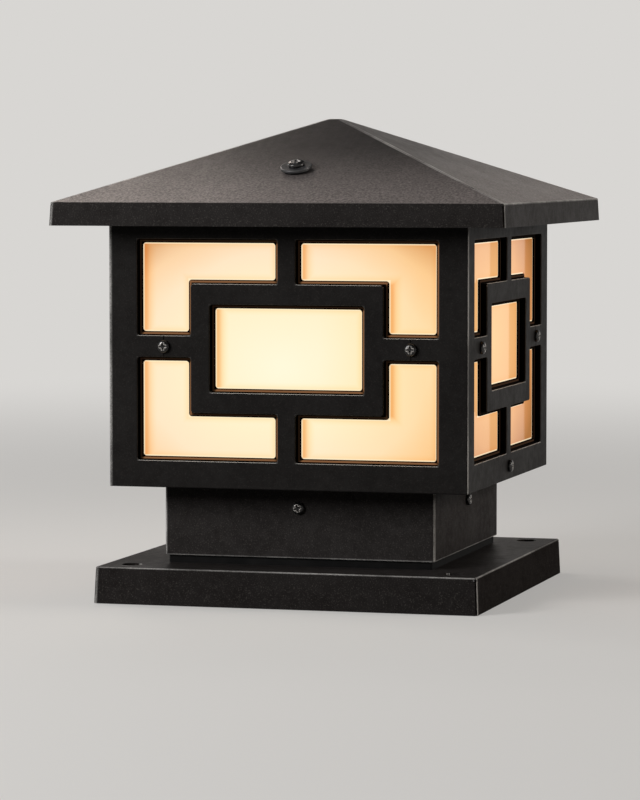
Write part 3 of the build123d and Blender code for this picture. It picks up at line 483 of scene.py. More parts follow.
@dataclass(frozen=True)
class OpalAcrylic(Finish):
    """Opal acrylic sheet, extruded and polished, lit from behind by one bulb.

    It gives a smooth glossy skin over a milky body that is cream in front of the bulb, turns peach towards
    the corners and darker orange beside the bars in painted shade, with a thin painted highlight line where
    the lip's edge lies on it.
    """

    lattice: Lattice
    glow: Stops
    middle: float
    lamp_level: float
    lean: float = -0.004
    reach: Span = (0.142, 0.102)
    # Darker, orange tint of the opal beside the bars: painted shade.
    bar_shade: Stops = (
        (0.0, "#f6cb9d"), (0.3, "#fdebd2"), (0.5, "#fff5e6"), (0.75, "#fffcf6"), (1.0, "#ffffff"))
    bar_shade_mm: float = 7.0
    bar_shade_ease_mm: float = 2.5
    # Thin bright line on the opal at the lip's edge: painted highlight.
    lip_highlight: str = "#fff0cc"
    lip_highlight_mm: Span = (1.0, 0.5)
    lip_highlight_share: float = 0.75
    yellow: str = "#fff4db"
    yellow_mm: Span = (20.0, 90.0)
    body: str = "#5a4a36"
    milk_mm: float = 60.0
    milk_share: float = 0.08
    ripple_mm: float = 26.0

    def paint(self, lay: Lay) -> dict[str, object]:
        """Lay the glow of the bulb, the painted shade beside the bars and the lip's painted highlight line.

        Args:
            lay: Adds a node to the material's tree.

        Returns:
            Values and sockets for the shader.
        """
        spot = Spot.find(lay)
        centres = (spot.lateral, self.lean), (spot.level, self.lamp_level)
        offsets = [lay("Math", pair, operation="SUBTRACT")[0] for pair in centres]
        shares = [lay("Math", pair, operation="DIVIDE")[0] for pair in zip(offsets, self.reach)]
        far = lay("VectorMath", lay("CombineXYZ", shares)[:1], operation="LENGTH")["Value"]
        milk, ripple = (lay("TexNoise", {"Vector": spot.place, "Scale": per_mm(size), "Detail": 2.0})[0]
                        for size in (self.milk_mm, self.ripple_mm))
        uneven = lay("MapRange", (milk, 0.0, 1.0, -self.milk_share, self.milk_share))[0]
        far = lay("Math", (far, uneven), operation="ADD")[0]
        glow = lay("ValToRGB", (far,), self.glow)[0]
        # Painted shade beside the bars, stronger on their left.
        skewed = self.lattice.gap(lay, spot, self.lattice.skew, ease=self.bar_shade_ease_mm * MM)
        inward = lay("MapRange", (skewed, 0.0, self.bar_shade_mm * MM))[0]
        tint = lay("ValToRGB", (inward,), self.bar_shade)[0]
        front = lay("Math", (spot.outer, self.middle), operation="GREATER_THAN")[0]
        right = lay("MapRange", (spot.turn, *(size * MM for size in self.yellow_mm)))[0]
        for share, colour in ((front, tint), (right, linear(self.yellow))):
            glow = lay("Mix", {0: share, 6: glow, 7: colour}, data_type="RGBA", blend_type="MULTIPLY")[2]
        ends = (size * MM for size in self.lip_highlight_mm)
        # Painted highlight line at the lip's edge.
        bright = lay("MapRange", (self.lattice.gap(lay, spot), *ends, 0.0, self.lip_highlight_share))[0]
        bright = lay("Math", (bright, front), operation="MULTIPLY")[0]
        glow = lay("Mix", {0: bright, 6: glow, 7: linear(self.lip_highlight)}, data_type="RGBA")[2]
        bump = lay("Bump", {"Height": ripple, "Strength": 0.25, "Distance": 0.2 * MM})[0]
        return {"Base Color": linear(self.body), "Roughness": 0.09, "Specular IOR Level": 0.12,
                "Emission Color": glow, "Emission Strength": 1.0, "Normal": bump}


@dataclass(frozen=True)
class PlatedMetal(Finish):
    """Turned or pressed metal with a plated skin.

    It gives a close sheen with fine streaks and spangle, duller patches where it has been handled, and pale
    rims, worn bare and painted with a glint, on a piece whose points carry that wear.
    """

    shade: str
    dull: str
    rubbed_and_glint: str
    metallic: float = 1.0
    roughness: Span = (0.22, 0.40)
    spangle_mm: float = 2.6
    patch_mm: float = 11.0
    # Plating grain is far finer than a pixel, so it is drawn at about a millimetre.
    grain_mm: float = 0.9
    relief_mm: float = 0.03

    def paint(self, lay: Lay) -> dict[str, object]:
        """Lay the plating, its dull patches and its rubbed rims with their painted glint.

        Args:
            lay: Adds a node to the material's tree.

        Returns:
            Values and sockets for the shader.
        """
        place = lay("TexCoord")["Object"]
        spangle = lay("TexVoronoi", {"Vector": place, "Scale": per_mm(self.spangle_mm)})["Color"]
        grain, patch = (lay("TexNoise", {"Vector": place, "Scale": per_mm(size), "Detail": detail})[0]
                        for size, detail in ((self.grain_mm, 3.0), (self.patch_mm, 4.0)))
        skin = lay("ValToRGB", (patch,), ((0.36, self.dull), (0.62, self.shade)))[0]
        rub = lay("Attribute", attribute_name="rub")["Fac"]
        fray = lay("MapRange", (grain, 0.3, 0.7, 0.5))[0]
        bare_and_lit = lay("Math", (rub, fray), operation="MULTIPLY")[0]
        skin = lay("Mix", {0: bare_and_lit, 6: skin, 7: linear(self.rubbed_and_glint)}, data_type="RGBA")[2]
        tone = lay("Math", (patch, spangle, 0.18), operation="MULTIPLY_ADD")[0]
        gloss = lay("MapRange", (tone, 0.3, 0.8, *self.roughness[::-1]))[0]
        bump = lay("Bump", {"Height": grain, "Strength": 0.4, "Distance": self.relief_mm * MM})[0]
        return {"Base Color": skin, "Metallic": self.metallic, "Roughness": gloss, "Normal": bump}


@dataclass(frozen=True)
class Rubber(Finish):
    """EPDM rubber, moulded, with a matt bloom.

    It gives a dense black with a dry grey bloom in patches and a faint moulded grain.
    """

    name: str = "epdm_rubber_moulded"
    shade: str = "#0a0a0a"
    bloom: str = "#1c1b1b"
    patch_mm: float = 14.0
    grain_mm: float = 1.2

    def paint(self, lay: Lay) -> dict[str, object]:
        """Lay the bloom and the grain.

        Args:
            lay: Adds a node to the material's tree.

        Returns:
            Values and sockets for the shader.
        """
        place = lay("TexCoord")["Object"]
        patch, grain = (lay("TexNoise", {"Vector": place, "Scale": per_mm(size), "Detail": detail})[0]
                        for size, detail in ((self.patch_mm, 5.0), (self.grain_mm, 2.0)))
        skin = lay("ValToRGB", (patch,), ((0.38, self.shade), (0.72, self.bloom)))[0]
        gloss = lay("MapRange", (patch, 0.0, 1.0, 0.62, 0.88))[0]
        bump = lay("Bump", {"Height": grain, "Strength": 0.5, "Distance": 0.1 * MM})[0]
        return {"Base Color": skin, "Roughness": gloss, "Specular IOR Level": 0.12, "Normal": bump}


@dataclass(frozen=True)
class GlazedPorcelain(Finish):
    """Electrical porcelain, pressed and glazed.

    It gives a warm white body with faint grey specks under a wet, slightly wavy glaze.
    """

    name: str = "porcelain_glazed"
    shade: str = "#e6e0d3"
    tint: str = "#d3cbbb"
    speck: str = "#8f877a"
    pool_mm: float = 17.0
    speck_mm: float = 4.5

    def paint(self, lay: Lay) -> dict[str, object]:
        """Lay the specked body and the glaze.

        Args:
            lay: Adds a node to the material's tree.

        Returns:
            Values and sockets for the shader.
        """
        place = lay("TexCoord")["Object"]
        pool = lay("TexNoise", {"Vector": place, "Scale": per_mm(self.pool_mm), "Detail": 3.0})[0]
        cell = lay("TexVoronoi", {"Vector": place, "Scale": per_mm(self.speck_mm)})["Distance"]
        body = lay("ValToRGB", (pool,), ((0.35, self.tint), (0.65, self.shade)))[0]
        dot = lay("MapRange", (cell, 0.13, 0.05, 0.0, 0.6))[0]
        body = lay("Mix", {0: dot, 6: body, 7: linear(self.speck)}, data_type="RGBA")[2]
        gloss = lay("MapRange", (pool, 0.0, 1.0, 0.08, 0.22))[0]
        bump = lay("Bump", {"Height": pool, "Strength": 0.2, "Distance": 0.3 * MM})[0]
        return {"Base Color": body, "Roughness": gloss, "IOR": 1.54, "Normal": bump}


@dataclass(frozen=True)
class LampGlass(Finish):
    """Soda glass, blown and frosted inside, with a lit lamp in it.

    It gives a milky globe, brightest towards its top and deeper in tone at the neck, under a thin gloss.
    """

    name: str = "lamp_glass_frosted"
    glow: Stops = ((0.0, "#b98a55"), (0.45, "#f6d49b"), (0.8, "#fff0cf"))
    foot: float = 0.0
    top: float = 1.0
    body: str = "#8f8674"
    frost_mm: float = 1.4

    def paint(self, lay: Lay) -> dict[str, object]:
        """Lay the frost and the glow from the neck to the top.

        Args:
            lay: Adds a node to the material's tree.

        Returns:
            Values and sockets for the shader.
        """
        place = lay("TexCoord")["Object"]
        level = lay("SeparateXYZ", (place,))[2]
        rise = lay("MapRange", (level, self.foot, self.top))[0]
        frost = lay("TexNoise", {"Vector": place, "Scale": per_mm(self.frost_mm), "Detail": 2.0})[0]
        uneven = lay("Math", (frost, 0.12, rise), operation="MULTIPLY_ADD")[0]
        glow = lay("ValToRGB", (uneven,), self.glow)[0]
        bump = lay("Bump", {"Height": frost, "Strength": 0.15, "Distance": 0.05 * MM})[0]
        return {"Base Color": linear(self.body), "Roughness": 0.16, "IOR": 1.52, "Emission Color": glow,
                "Emission Strength": 0.9, "Normal": bump}


@dataclass(frozen=True)
class FusedGlass(Finish):
    """Black insulating glass, fused into a lamp's cap: a glossy dark skin with fine swirls."""

    name: str = "vitreous_black_glass_fused"
    shade: str = "#0f0d14"
    swirl: str = "#2a2433"
    flow_mm: float = 5.0

    def paint(self, lay: Lay) -> dict[str, object]:
        """Lay the swirls.

        Args:
            lay: Adds a node to the material's tree.

        Returns:
            Values and sockets for the shader.
        """
        flow = lay("TexNoise", {"Vector": lay("TexCoord")["Object"], "Scale": per_mm(self.flow_mm),
                                "Detail": 4.0, "Distortion": 1.6})[0]
        skin = lay("ValToRGB", (flow,), ((0.4, self.shade), (0.7, self.swirl)))[0]
        bump = lay("Bump", {"Height": flow, "Strength": 0.2, "Distance": 0.1 * MM})[0]
        return {"Base Color": skin, "Roughness": 0.08, "IOR": 1.6, "Normal": bump}


@dataclass(frozen=True)
class StudioPaper(Finish):
    """Matt paper that the viewer sees pale and, far behind the light, evenly lit. Distances in metres."""

    name: str = "studio_paper_matt"
    floor: str = "#efedea"
    shade: str = "#6a6967"
    backdrop: str = "#d8d6d3"
    lift: float = 0.45
    backdrop_start: Span = (0.5, 2.4)

    def paint(self, lay: Lay) -> dict[str, object]:
        """Lay the paper's two tones.

        Args:
            lay: Adds a node to the material's tree.

        Returns:
            Values and sockets for the shader.
        """
        tones = {0: self._seen(lay), 6: linear(self.shade), 7: linear(self.floor)}
        return {"Base Color": lay("Mix", tones, data_type="RGBA")[2], "Roughness": 0.9,
                "Specular IOR Level": 0.1}

    def surface(self, lay: Lay, shader: Socket) -> Socket:
        """Mix an even light in, more of it further from the light's foot.

        Args:
            lay: Adds a node to the material's tree.
            shader: Shader of the paper.

        Returns:
            The mixed surface.
        """
        away = lay("VectorMath", (lay("TexCoord")["Object"],), operation="LENGTH")["Value"]
        far = lay("MapRange", (away, *self.backdrop_start, self.lift), interpolation_type="SMOOTHSTEP")[0]
        amount = lay("Math", (far, self._seen(lay)), operation="MULTIPLY")[0]
        even = lay("Emission", (linear(self.backdrop),))[0]
        return lay("MixShader", (amount, shader, even))[0]

    def _seen(self, lay: Lay) -> Socket:
        """One for rays that show the paper to the viewer, straight, by reflection or through glass.

        Args:
            lay: Adds a node to the material's tree.

        Returns:
            One or zero, as a socket.
        """
        path = lay("LightPath")
        seen = path["Is Camera Ray"]
        for ray in ("Is Glossy Ray", "Is Transmission Ray"):
            seen = lay("Math", (seen, path[ray]), operation="MAXIMUM")[0]
        return seen


@dataclass
class Skin:
    """Mesh arrays of one surface or of several put together."""

    points: np.ndarray
    quads: np.ndarray
    caps: np.ndarray
    rub: np.ndarray

    @classmethod
    def round_grid(cls, grid: np.ndarray, rub: np.ndarray | None = None, closed: bool = False) -> "Skin":
        """Close a grid whose columns run round an axis.

        Rows run upward on an outside. Neighbouring rows are joined by quads and the last column meets the
        first. The two end rows are each closed by a fan of triangles on their own middle, or joined to each
        other if the rows form a loop.

        Args:
            grid: Points, rows by columns by three.
            rub: Wear, with a painted glint, of every point, rows by columns.
            closed: Whether the last row joins the first.

        Returns:
            The closed surface.
        """
        rows, columns = grid.shape[:2]
        index = np.arange(rows * columns).reshape(rows, columns)
        if closed:
            index = np.vstack([index, index[:1]])
        turned = np.roll(index, -1, axis=1)
        quads = np.stack([index[:-1], turned[:-1], turned[1:], index[1:]], axis=-1).reshape(-1, 4)
        points = grid.reshape(-1, 3)
        wear_and_glint = np.zeros(rows * columns) if rub is None else rub.reshape(-1)
        caps = np.zeros((0, 3), int)
        if not closed:
            ends = np.vstack([grid[0].mean(axis=0), grid[-1].mean(axis=0)])
            first = np.full(columns, rows * columns)
            start = np.stack([turned[0], index[0], first], axis=-1)
            end = np.stack([index[-1], turned[-1], first + 1], axis=-1)
            caps = np.vstack([start, end])
            points = np.vstack([points, ends])
            wear_and_glint = np.concatenate([wear_and_glint, [wear_and_glint[:columns].mean(), wear_and_glint[-columns:].mean()]])
        return cls(points, quads, caps, wear_and_glint)

    def placed(self, turns: np.ndarray, shifts: np.ndarray) -> "Skin":
        """Copy the surface to several places.

        Args:
            turns: Rotation matrices, copies by three by three.
            shifts: Origins, copies by three.

        Returns:
            All copies as one surface.
        """
        count, size = len(turns), len(self.points)
        points = np.einsum("kij,nj->kni", turns, self.points) + shifts[:, None, :]
        step = (np.arange(count) * size)[:, None, None]
        return Skin(points.reshape(-1, 3), (self.quads[None] + step).reshape(-1, 4),
                    (self.caps[None] + step).reshape(-1, 3), np.tile(self.rub, count))

    def piece(self, name: str, finish: Material, crease: float = 38.0) -> bpy.types.Object:
        """Put the surface into a Blender object.

        Args:
            name: Name of the piece.
            finish: Material of the piece.
            crease: Angle in degrees above which an edge stays sharp.

        Returns:
            The object, at the origin.
        """
        mesh = bpy.data.meshes.new(name)
        mesh.from_pydata(self.points, [], self.quads.tolist() + self.caps.tolist())
        mesh.polygons.foreach_set("use_smooth", np.ones(len(mesh.polygons), bool))
        # Each point's wear and painted glint, read by the plated finish.
        mesh.attributes.new("rub", "FLOAT", "POINT").data.foreach_set("value", self.rub.astype(np.float32))
        mesh.set_sharp_from_angle(angle=math.radians(crease))
        mesh.materials.append(finish)
        mesh.update()
        made = bpy.data.objects.new(name, mesh)
        bpy.context.scene.collection.objects.link(made)
        return made


def turned_grid(radius: np.ndarray, level: np.ndarray, columns: int) -> np.ndarray:
    """Carry a profile round the Z axis.

    A point is (radius cos a, radius sin a, level), for the profile's radius and level and for the angle a.

    Args:
        radius: Radii, one a row or rows by columns.
        level: Heights, one a row.
        columns: Steps round the axis.

    Returns:
        Points, rows by columns by three.
    """
    angle = np.linspace(0.0, 2 * np.pi, columns, endpoint=False)
    radius = radius[:, None] if radius.ndim == 1 else radius
    height = level[:, None] * np.ones_like(angle)
    return np.stack([radius * np.cos(angle), radius * np.sin(angle), height], axis=-1)


def about_z(steps: Iterable[int]) -> np.ndarray:
    """Rotation matrices of quarter turns about Z.

    Args:
        steps: Quarter turns, one for each matrix.

    Returns:
        Matrices, steps by three by three.
    """
    angle = np.array(list(steps)) * np.pi / 2
    zero, one = np.zeros_like(angle), np.ones_like(angle)
    rows = [[np.cos(angle), -np.sin(angle), zero], [np.sin(angle), np.cos(angle), zero], [zero, zero, one]]
    return np.moveaxis(np.array(rows), 2, 0)


def stood_on(outward: np.ndarray, spin: np.ndarray, steep: float = 0.5) -> np.ndarray:
    """Rotations that stand Z along given directions, spun about them.

    The second axis is the outward direction crossed with a sideways one, so that a spin of zero is level.

    Args:
        outward: Directions, copies by three.
        spin: Turns about each direction, in radians.
        steep: Height of a direction past which it counts as upright.

    Returns:
        Rotation matrices, copies by three by three.
    """
    upright = np.abs(outward[:, 2:]) > steep
    hint = np.where(upright, np.array([[0.0, 1.0, 0.0]]), np.array([[0.0, 0.0, 1.0]]))
    side = np.cross(hint, outward)
    side /= np.linalg.norm(side, axis=1, keepdims=True)
    rise = np.cross(outward, side)
    cosine, sine = np.cos(spin)[:, None], np.sin(spin)[:, None]
    return np.stack([side * cosine + rise * sine, rise * cosine - side * sine, outward], axis=-1)


@dataclass(frozen=True)
class PanScrew:
    """Pan head machine screw: a domed head with a cross recess on a threaded shank.

    The sizes of the head, the shank and the thread along it are in millimetres. The recess, the wear with its
    painted glint and the shoulder are shares of half the head, and the thread's depth and the tip are shares
    of the core.
    """

    head: float
    height: float
    shank: float
    reach: float
    columns: int = 56
    rim_share: float = 0.30
    fullness: float = 2.7
    # Where the crown's round shoulder begins, and its rows over the recess and round the shoulder.
    shoulder: float = 0.62
    crown_rows: tuple[int, int] = (20, 9)
    # Lower edge of the rim as a share of the rim's height, and the seat as a share of half the head.
    under_rim: Span = (0.35, 0.985)
    # The real threads are 0.7 to 1 mm apart, so they are drawn about twice as coarse.
    thread_pitch: float = 1.5
    thread_depth: float = 0.17
    # Where the thread starts below the head, and where it and the tip's chamfer end above the tip.
    thread_start: float = 0.15
    thread_end: float = 0.8
    chamfer: float = 0.35
    tip: Span = (0.78, 0.55)
    # Reach of the recess's wings, their half width at the end and what the middle adds, and their wall.
    wing: float = 0.56
    wing_width: Span = (0.115, 0.10)
    wing_wall: float = 0.09
    # Depth of the recess as a share of the head's height, and how quickly its floor rises along a wing.
    recess: float = 0.62
    recess_curve: float = 0.55
    # Place and width of the worn lip past the wall and of the worn rim of the head, both with painted glint,
    # and the rim's strength.
    glinting_worn_lip: Span = (0.06, 0.10)
    glinting_worn_rim: Span = (0.93, 0.07)
    rim_wear_and_glint: float = 0.1
    # How far the worn, glinting lip goes past the end of a wing, as a share of the wing.
    lip_end: float = 1.12

    def skin(self) -> Skin:
        """Build one screw that stands on Z = 0 with its shank below.

        The crown is a superellipse, level = rim + crown (1 - (r / R)^n)^(1/n), less the recess. The shank's
        radius is the core less a triangle wave of (level / pitch + angle / turn).

        Returns:
            The closed surface of the screw, in metres.
        """
        half, core = self.head / 2, self.shank / 2
        rim = self.height * self.rim_share
        bend = np.linspace(math.asin(self.shoulder ** (self.fullness / 2)), np.pi / 2, self.crown_rows[1])
        middle = np.linspace(0.02, self.shoulder - 0.02, self.crown_rows[0])
        crown = half * np.concatenate([middle, np.sin(bend) ** (2 / self.fullness)])
        share = np.clip(1 - (crown / half) ** self.fullness, 0.0, 1.0) ** (1 / self.fullness)
        rows = max(int(self.reach / self.thread_pitch * 4), 6)
        shank_level = -np.linspace(self.thread_start, self.reach - self.thread_end, rows)
        level = np.concatenate([rim + (self.height - rim) * share, [rim * self.under_rim[0], 0.0, 0.0],
                                shank_level, [self.chamfer - self.reach, -self.reach]])
        turn = np.linspace(0.0, 1.0, self.columns, endpoint=False)
        phase = (shank_level[:, None] / self.thread_pitch + turn) % 1.0
        wave = core - self.thread_depth * core * (2 * np.abs(phase - 0.5))
        above = np.concatenate([crown, [half, half * self.under_rim[1], core]])
        above, tip = (radii[:, None] * np.ones(self.columns) for radii in (above, core * np.array(self.tip)))
        grid = turned_grid(np.vstack([above, wave, tip]), level, self.columns)
        top = slice(0, len(crown))
        wear_and_glint = np.zeros(grid.shape[:2])
        sunk, wear_and_glint[top] = self._recess(grid[top, :, 0], grid[top, :, 1])
        grid[top, :, 2] -= sunk
        return Skin.round_grid(grid[::-1] * MM, wear_and_glint[::-1])

    def _recess(self, x: np.ndarray, y: np.ndarray) -> tuple[np.ndarray, np.ndarray]:
        """Depth of the driver recess and the wear, with painted glint, at its rim.

        Across a wing the wall is a smooth step, and along it the floor rises to the wing's end.

        Args:
            x: First coordinates on the head.
            y: Second coordinates on the head.

        Returns:
            Depth and wear at every point.
        """
        half = self.head / 2
        along, across = np.maximum(np.abs(x), np.abs(y)), np.minimum(np.abs(x), np.abs(y))
        end = self.wing * half
        left = np.clip(1 - along / end, 0, 1)
        width = half * (self.wing_width[0] + self.wing_width[1] * left)
        wall = np.clip((width - across) / (self.wing_wall * half) + 0.5, 0, 1)
        depth = self.recess * self.height * left ** self.recess_curve * wall * wall * (3 - 2 * wall)
        past, lip = (half * share for share in self.glinting_worn_lip)
        place, rim = (half * share for share in self.glinting_worn_rim)
        rub = np.exp(-((across - width - past) / lip) ** 2) * (along < end * self.lip_end)
        rub = rub + self.rim_wear_and_glint * np.exp(-((np.hypot(x, y) - place) / rim) ** 2)
        return depth, np.clip(rub, 0, 1)


def settle(piece: bpy.types.Object, body: str, slot: str, *nodes: str) -> bpy.types.Object:
    """Let a piece ride on a body in place of CAD nodes.

    Args:
        piece: The new piece.
        body: Body that carries it.
        slot: Record's slot for its finish; not used.
        nodes: CAD nodes that it stands for.

    Returns:
        The same piece.
    """
    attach(piece, body)
    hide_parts(*nodes)
    LOG.info("%s rides on %s for %s: %d faces", piece.name, body, ", ".join(nodes), len(piece.data.polygons))
    return piece


@dataclass
class Fixing:
    """One group of equal screws that stands for a CAD node."""

    node: str
    body: str
    slot: str
    screw: PanScrew
    points: np.ndarray
    outward: np.ndarray
    tilt: float
    spin_step: float = 2.4
    spin_start: float = 0.7

    def build(self, finish: Material) -> bpy.types.Object:
        """Make all screws of the group as one piece.

        Each is turned as it was left, by the tilt times a sine of its number.

        Args:
            finish: Material of the screws.

        Returns:
            The piece, riding on its body.
        """
        order = np.arange(len(self.points))
        spin = np.radians(self.tilt * np.sin(self.spin_step * order + self.spin_start))
        skin = self.screw.skin().placed(stood_on(self.outward, spin), self.points * MM)
        return settle(skin.piece(self.node + "_driven", finish), self.body, self.slot, self.node)


@dataclass
class ThreadedSleeve:
    """Thin sleeve with a rolled round thread, such as a lamp's cap. Sizes in millimetres."""

    node: str
    body: str
    slot: str
    radius: float
    wall: float
    foot: float
    top: float
    depth: float = 0.8
    pitch: float = 3.629
    run_out: float = 2.0
    rows_a_turn: int = 12
    columns: int = 96

    def skin(self) -> Skin:
        """Build the sleeve.

        The outer radius is the widest one less half the depth times (1 - cos(2 pi (level / pitch - turn))),
        with the wave faded out at both ends, and the inner radius is the outer less the wall.

        Returns:
            The closed surface of the sleeve, in metres.
        """
        level = np.linspace(self.foot, self.top, int((self.top - self.foot) / self.pitch * self.rows_a_turn))
        turn = np.linspace(0.0, 1.0, self.columns, endpoint=False)
        ends = np.clip(np.minimum(level - self.foot, self.top - level) / self.run_out, 0.0, 1.0)[:, None]
        wave = 0.5 * self.depth * (1 - np.cos(2 * np.pi * (level[:, None] / self.pitch - turn))) * ends
        outer = turned_grid(self.radius - wave, level, self.columns)
        inner = turned_grid(self.radius - self.wall - wave, level, self.columns)
        return Skin.round_grid(np.concatenate([outer, inner[::-1]]) * MM, closed=True)

    def build(self, finish: Material) -> bpy.types.Object:
        """Make the sleeve, riding on its body in the finish given."""
        return settle(self.skin().piece(self.node + "_rolled", finish), self.body, self.slot, self.node)


@dataclass
class Sizes:
    """Sizes of the light in millimetres, read from the frame or given.

    Lantern, neck, tray and roof each hold a half width, a foot and a top.
    """

    lattice_screw_place: float = 82.375
    lattice_rise: float = 1.2
    arm_rise: float = 1.1
    lip: float = 2.5
    stile: float = 19.0
    bottom_rail: float = 17.5
    top_rail: float = 27.0
    ring: Span = (128.5, 83.5)
    ring_bar: Span = (12.7, 13.3)
    arms: Span = (12.0, 14.0)
    roof_rise: float = 56.0
    fascia_height: float = 15.0
    fascia_lean: float = 0.8
    tray_lean: float = 1.0
    roof_screw_reach: float = 95.0
    seal_height: float = 1.8
    washer_height: float = 1.6
    lantern: Triple = field(init=False)
    neck: Triple = field(init=False)
    tray: Triple = field(init=False)
    roof: Triple = field(init=False)

    def __post_init__(self) -> None:
        """Read half width, foot and top of the main parts from the frame."""
        self.lantern = (-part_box("front_panel")[0].y / MM, *self.block("front_panel")[1:])
        self.neck = self.block("neck_sleeve")
        self.tray = self.block("base_tray")
        self.roof = self.block("roof_cap")

    @staticmethod
    def block(node: str) -> Triple:
        """Half width, foot and top of a node, in millimetres."""
        low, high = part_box(node)
        return high.x / MM, low.z / MM, high.z / MM

    @staticmethod
    def level(node: str) -> float:
        """Middle height of a node, in millimetres."""
        low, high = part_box(node)
        return (low.z + high.z) / 2 / MM

    @property
    def roof_fold(self) -> float:
        """Level of the fold between the roof's slopes and its fascia."""
        return self.roof[1] + self.fascia_height

    @property
    def roof_tilt(self) -> float:
        """Slope of the roof, in radians."""
        return math.atan(self.roof_rise / (self.roof[0] - self.fascia_lean))

    @property
    def roof_normal(self) -> np.ndarray:
        """Direction that the front slope of the roof faces."""
        return np.array([0.0, -math.sin(self.roof_tilt), math.cos(self.roof_tilt)])

    def on_roof(self, above: float) -> np.ndarray:
        """Point on the front slope at the roof screw, raised along the slope's normal."""
        level = self.roof_fold + self.roof_rise - math.tan(self.roof_tilt) * self.roof_screw_reach
        return np.array([0.0, -self.roof_screw_reach, level]) + above * self.roof_normal

    def lattice(self) -> Lattice:
        """Windows of the lattice at the edge of their lip.

        Returns:
            Half sizes and levels in metres.
        """
        height = self.lantern[2] - self.lantern[1] - self.bottom_rail - self.top_rail
        middle = self.lantern[1] + self.bottom_rail + height / 2
        ring_level = middle + self.lattice_rise
        window = self.lantern[0] - self.stile, height / 2
        bars = zip(self.ring, self.ring_bar)
        return Lattice(window=tuple((size - self.lip) * MM for size in window), window_level=middle * MM,
                       ring=tuple((size / 2 + self.lip) * MM for size in self.ring),
                       ring_inside=tuple((size / 2 - bar - self.lip) * MM for size, bar in bars),
                       ring_level=ring_level * MM,
                       arms=tuple((size / 2 + self.lip) * MM for size in self.arms),
                       arm_level=(ring_level + self.arm_rise) * MM)


def all_round(points: Sequence[Sequence[float]], outward: Sequence[float],
              sides: Iterable[Quarter]) -> tuple[np.ndarray, np.ndarray]:
    """Repeat front points and their direction on several sides.

    Args:
        points: Points on the front side.
        outward: Direction that they face.
        sides: Sides to repeat them on.

    Returns:
        Points and directions, one row a copy.
    """
    turns = about_z(side.value for side in sides)
    spots = np.einsum("kij,nj->kni", turns, np.array(points, float)).reshape(-1, 3)
    facing = np.einsum("kij,j->ki", turns, np.array(outward, float))
    return spots, np.repeat(facing, len(points), axis=0)


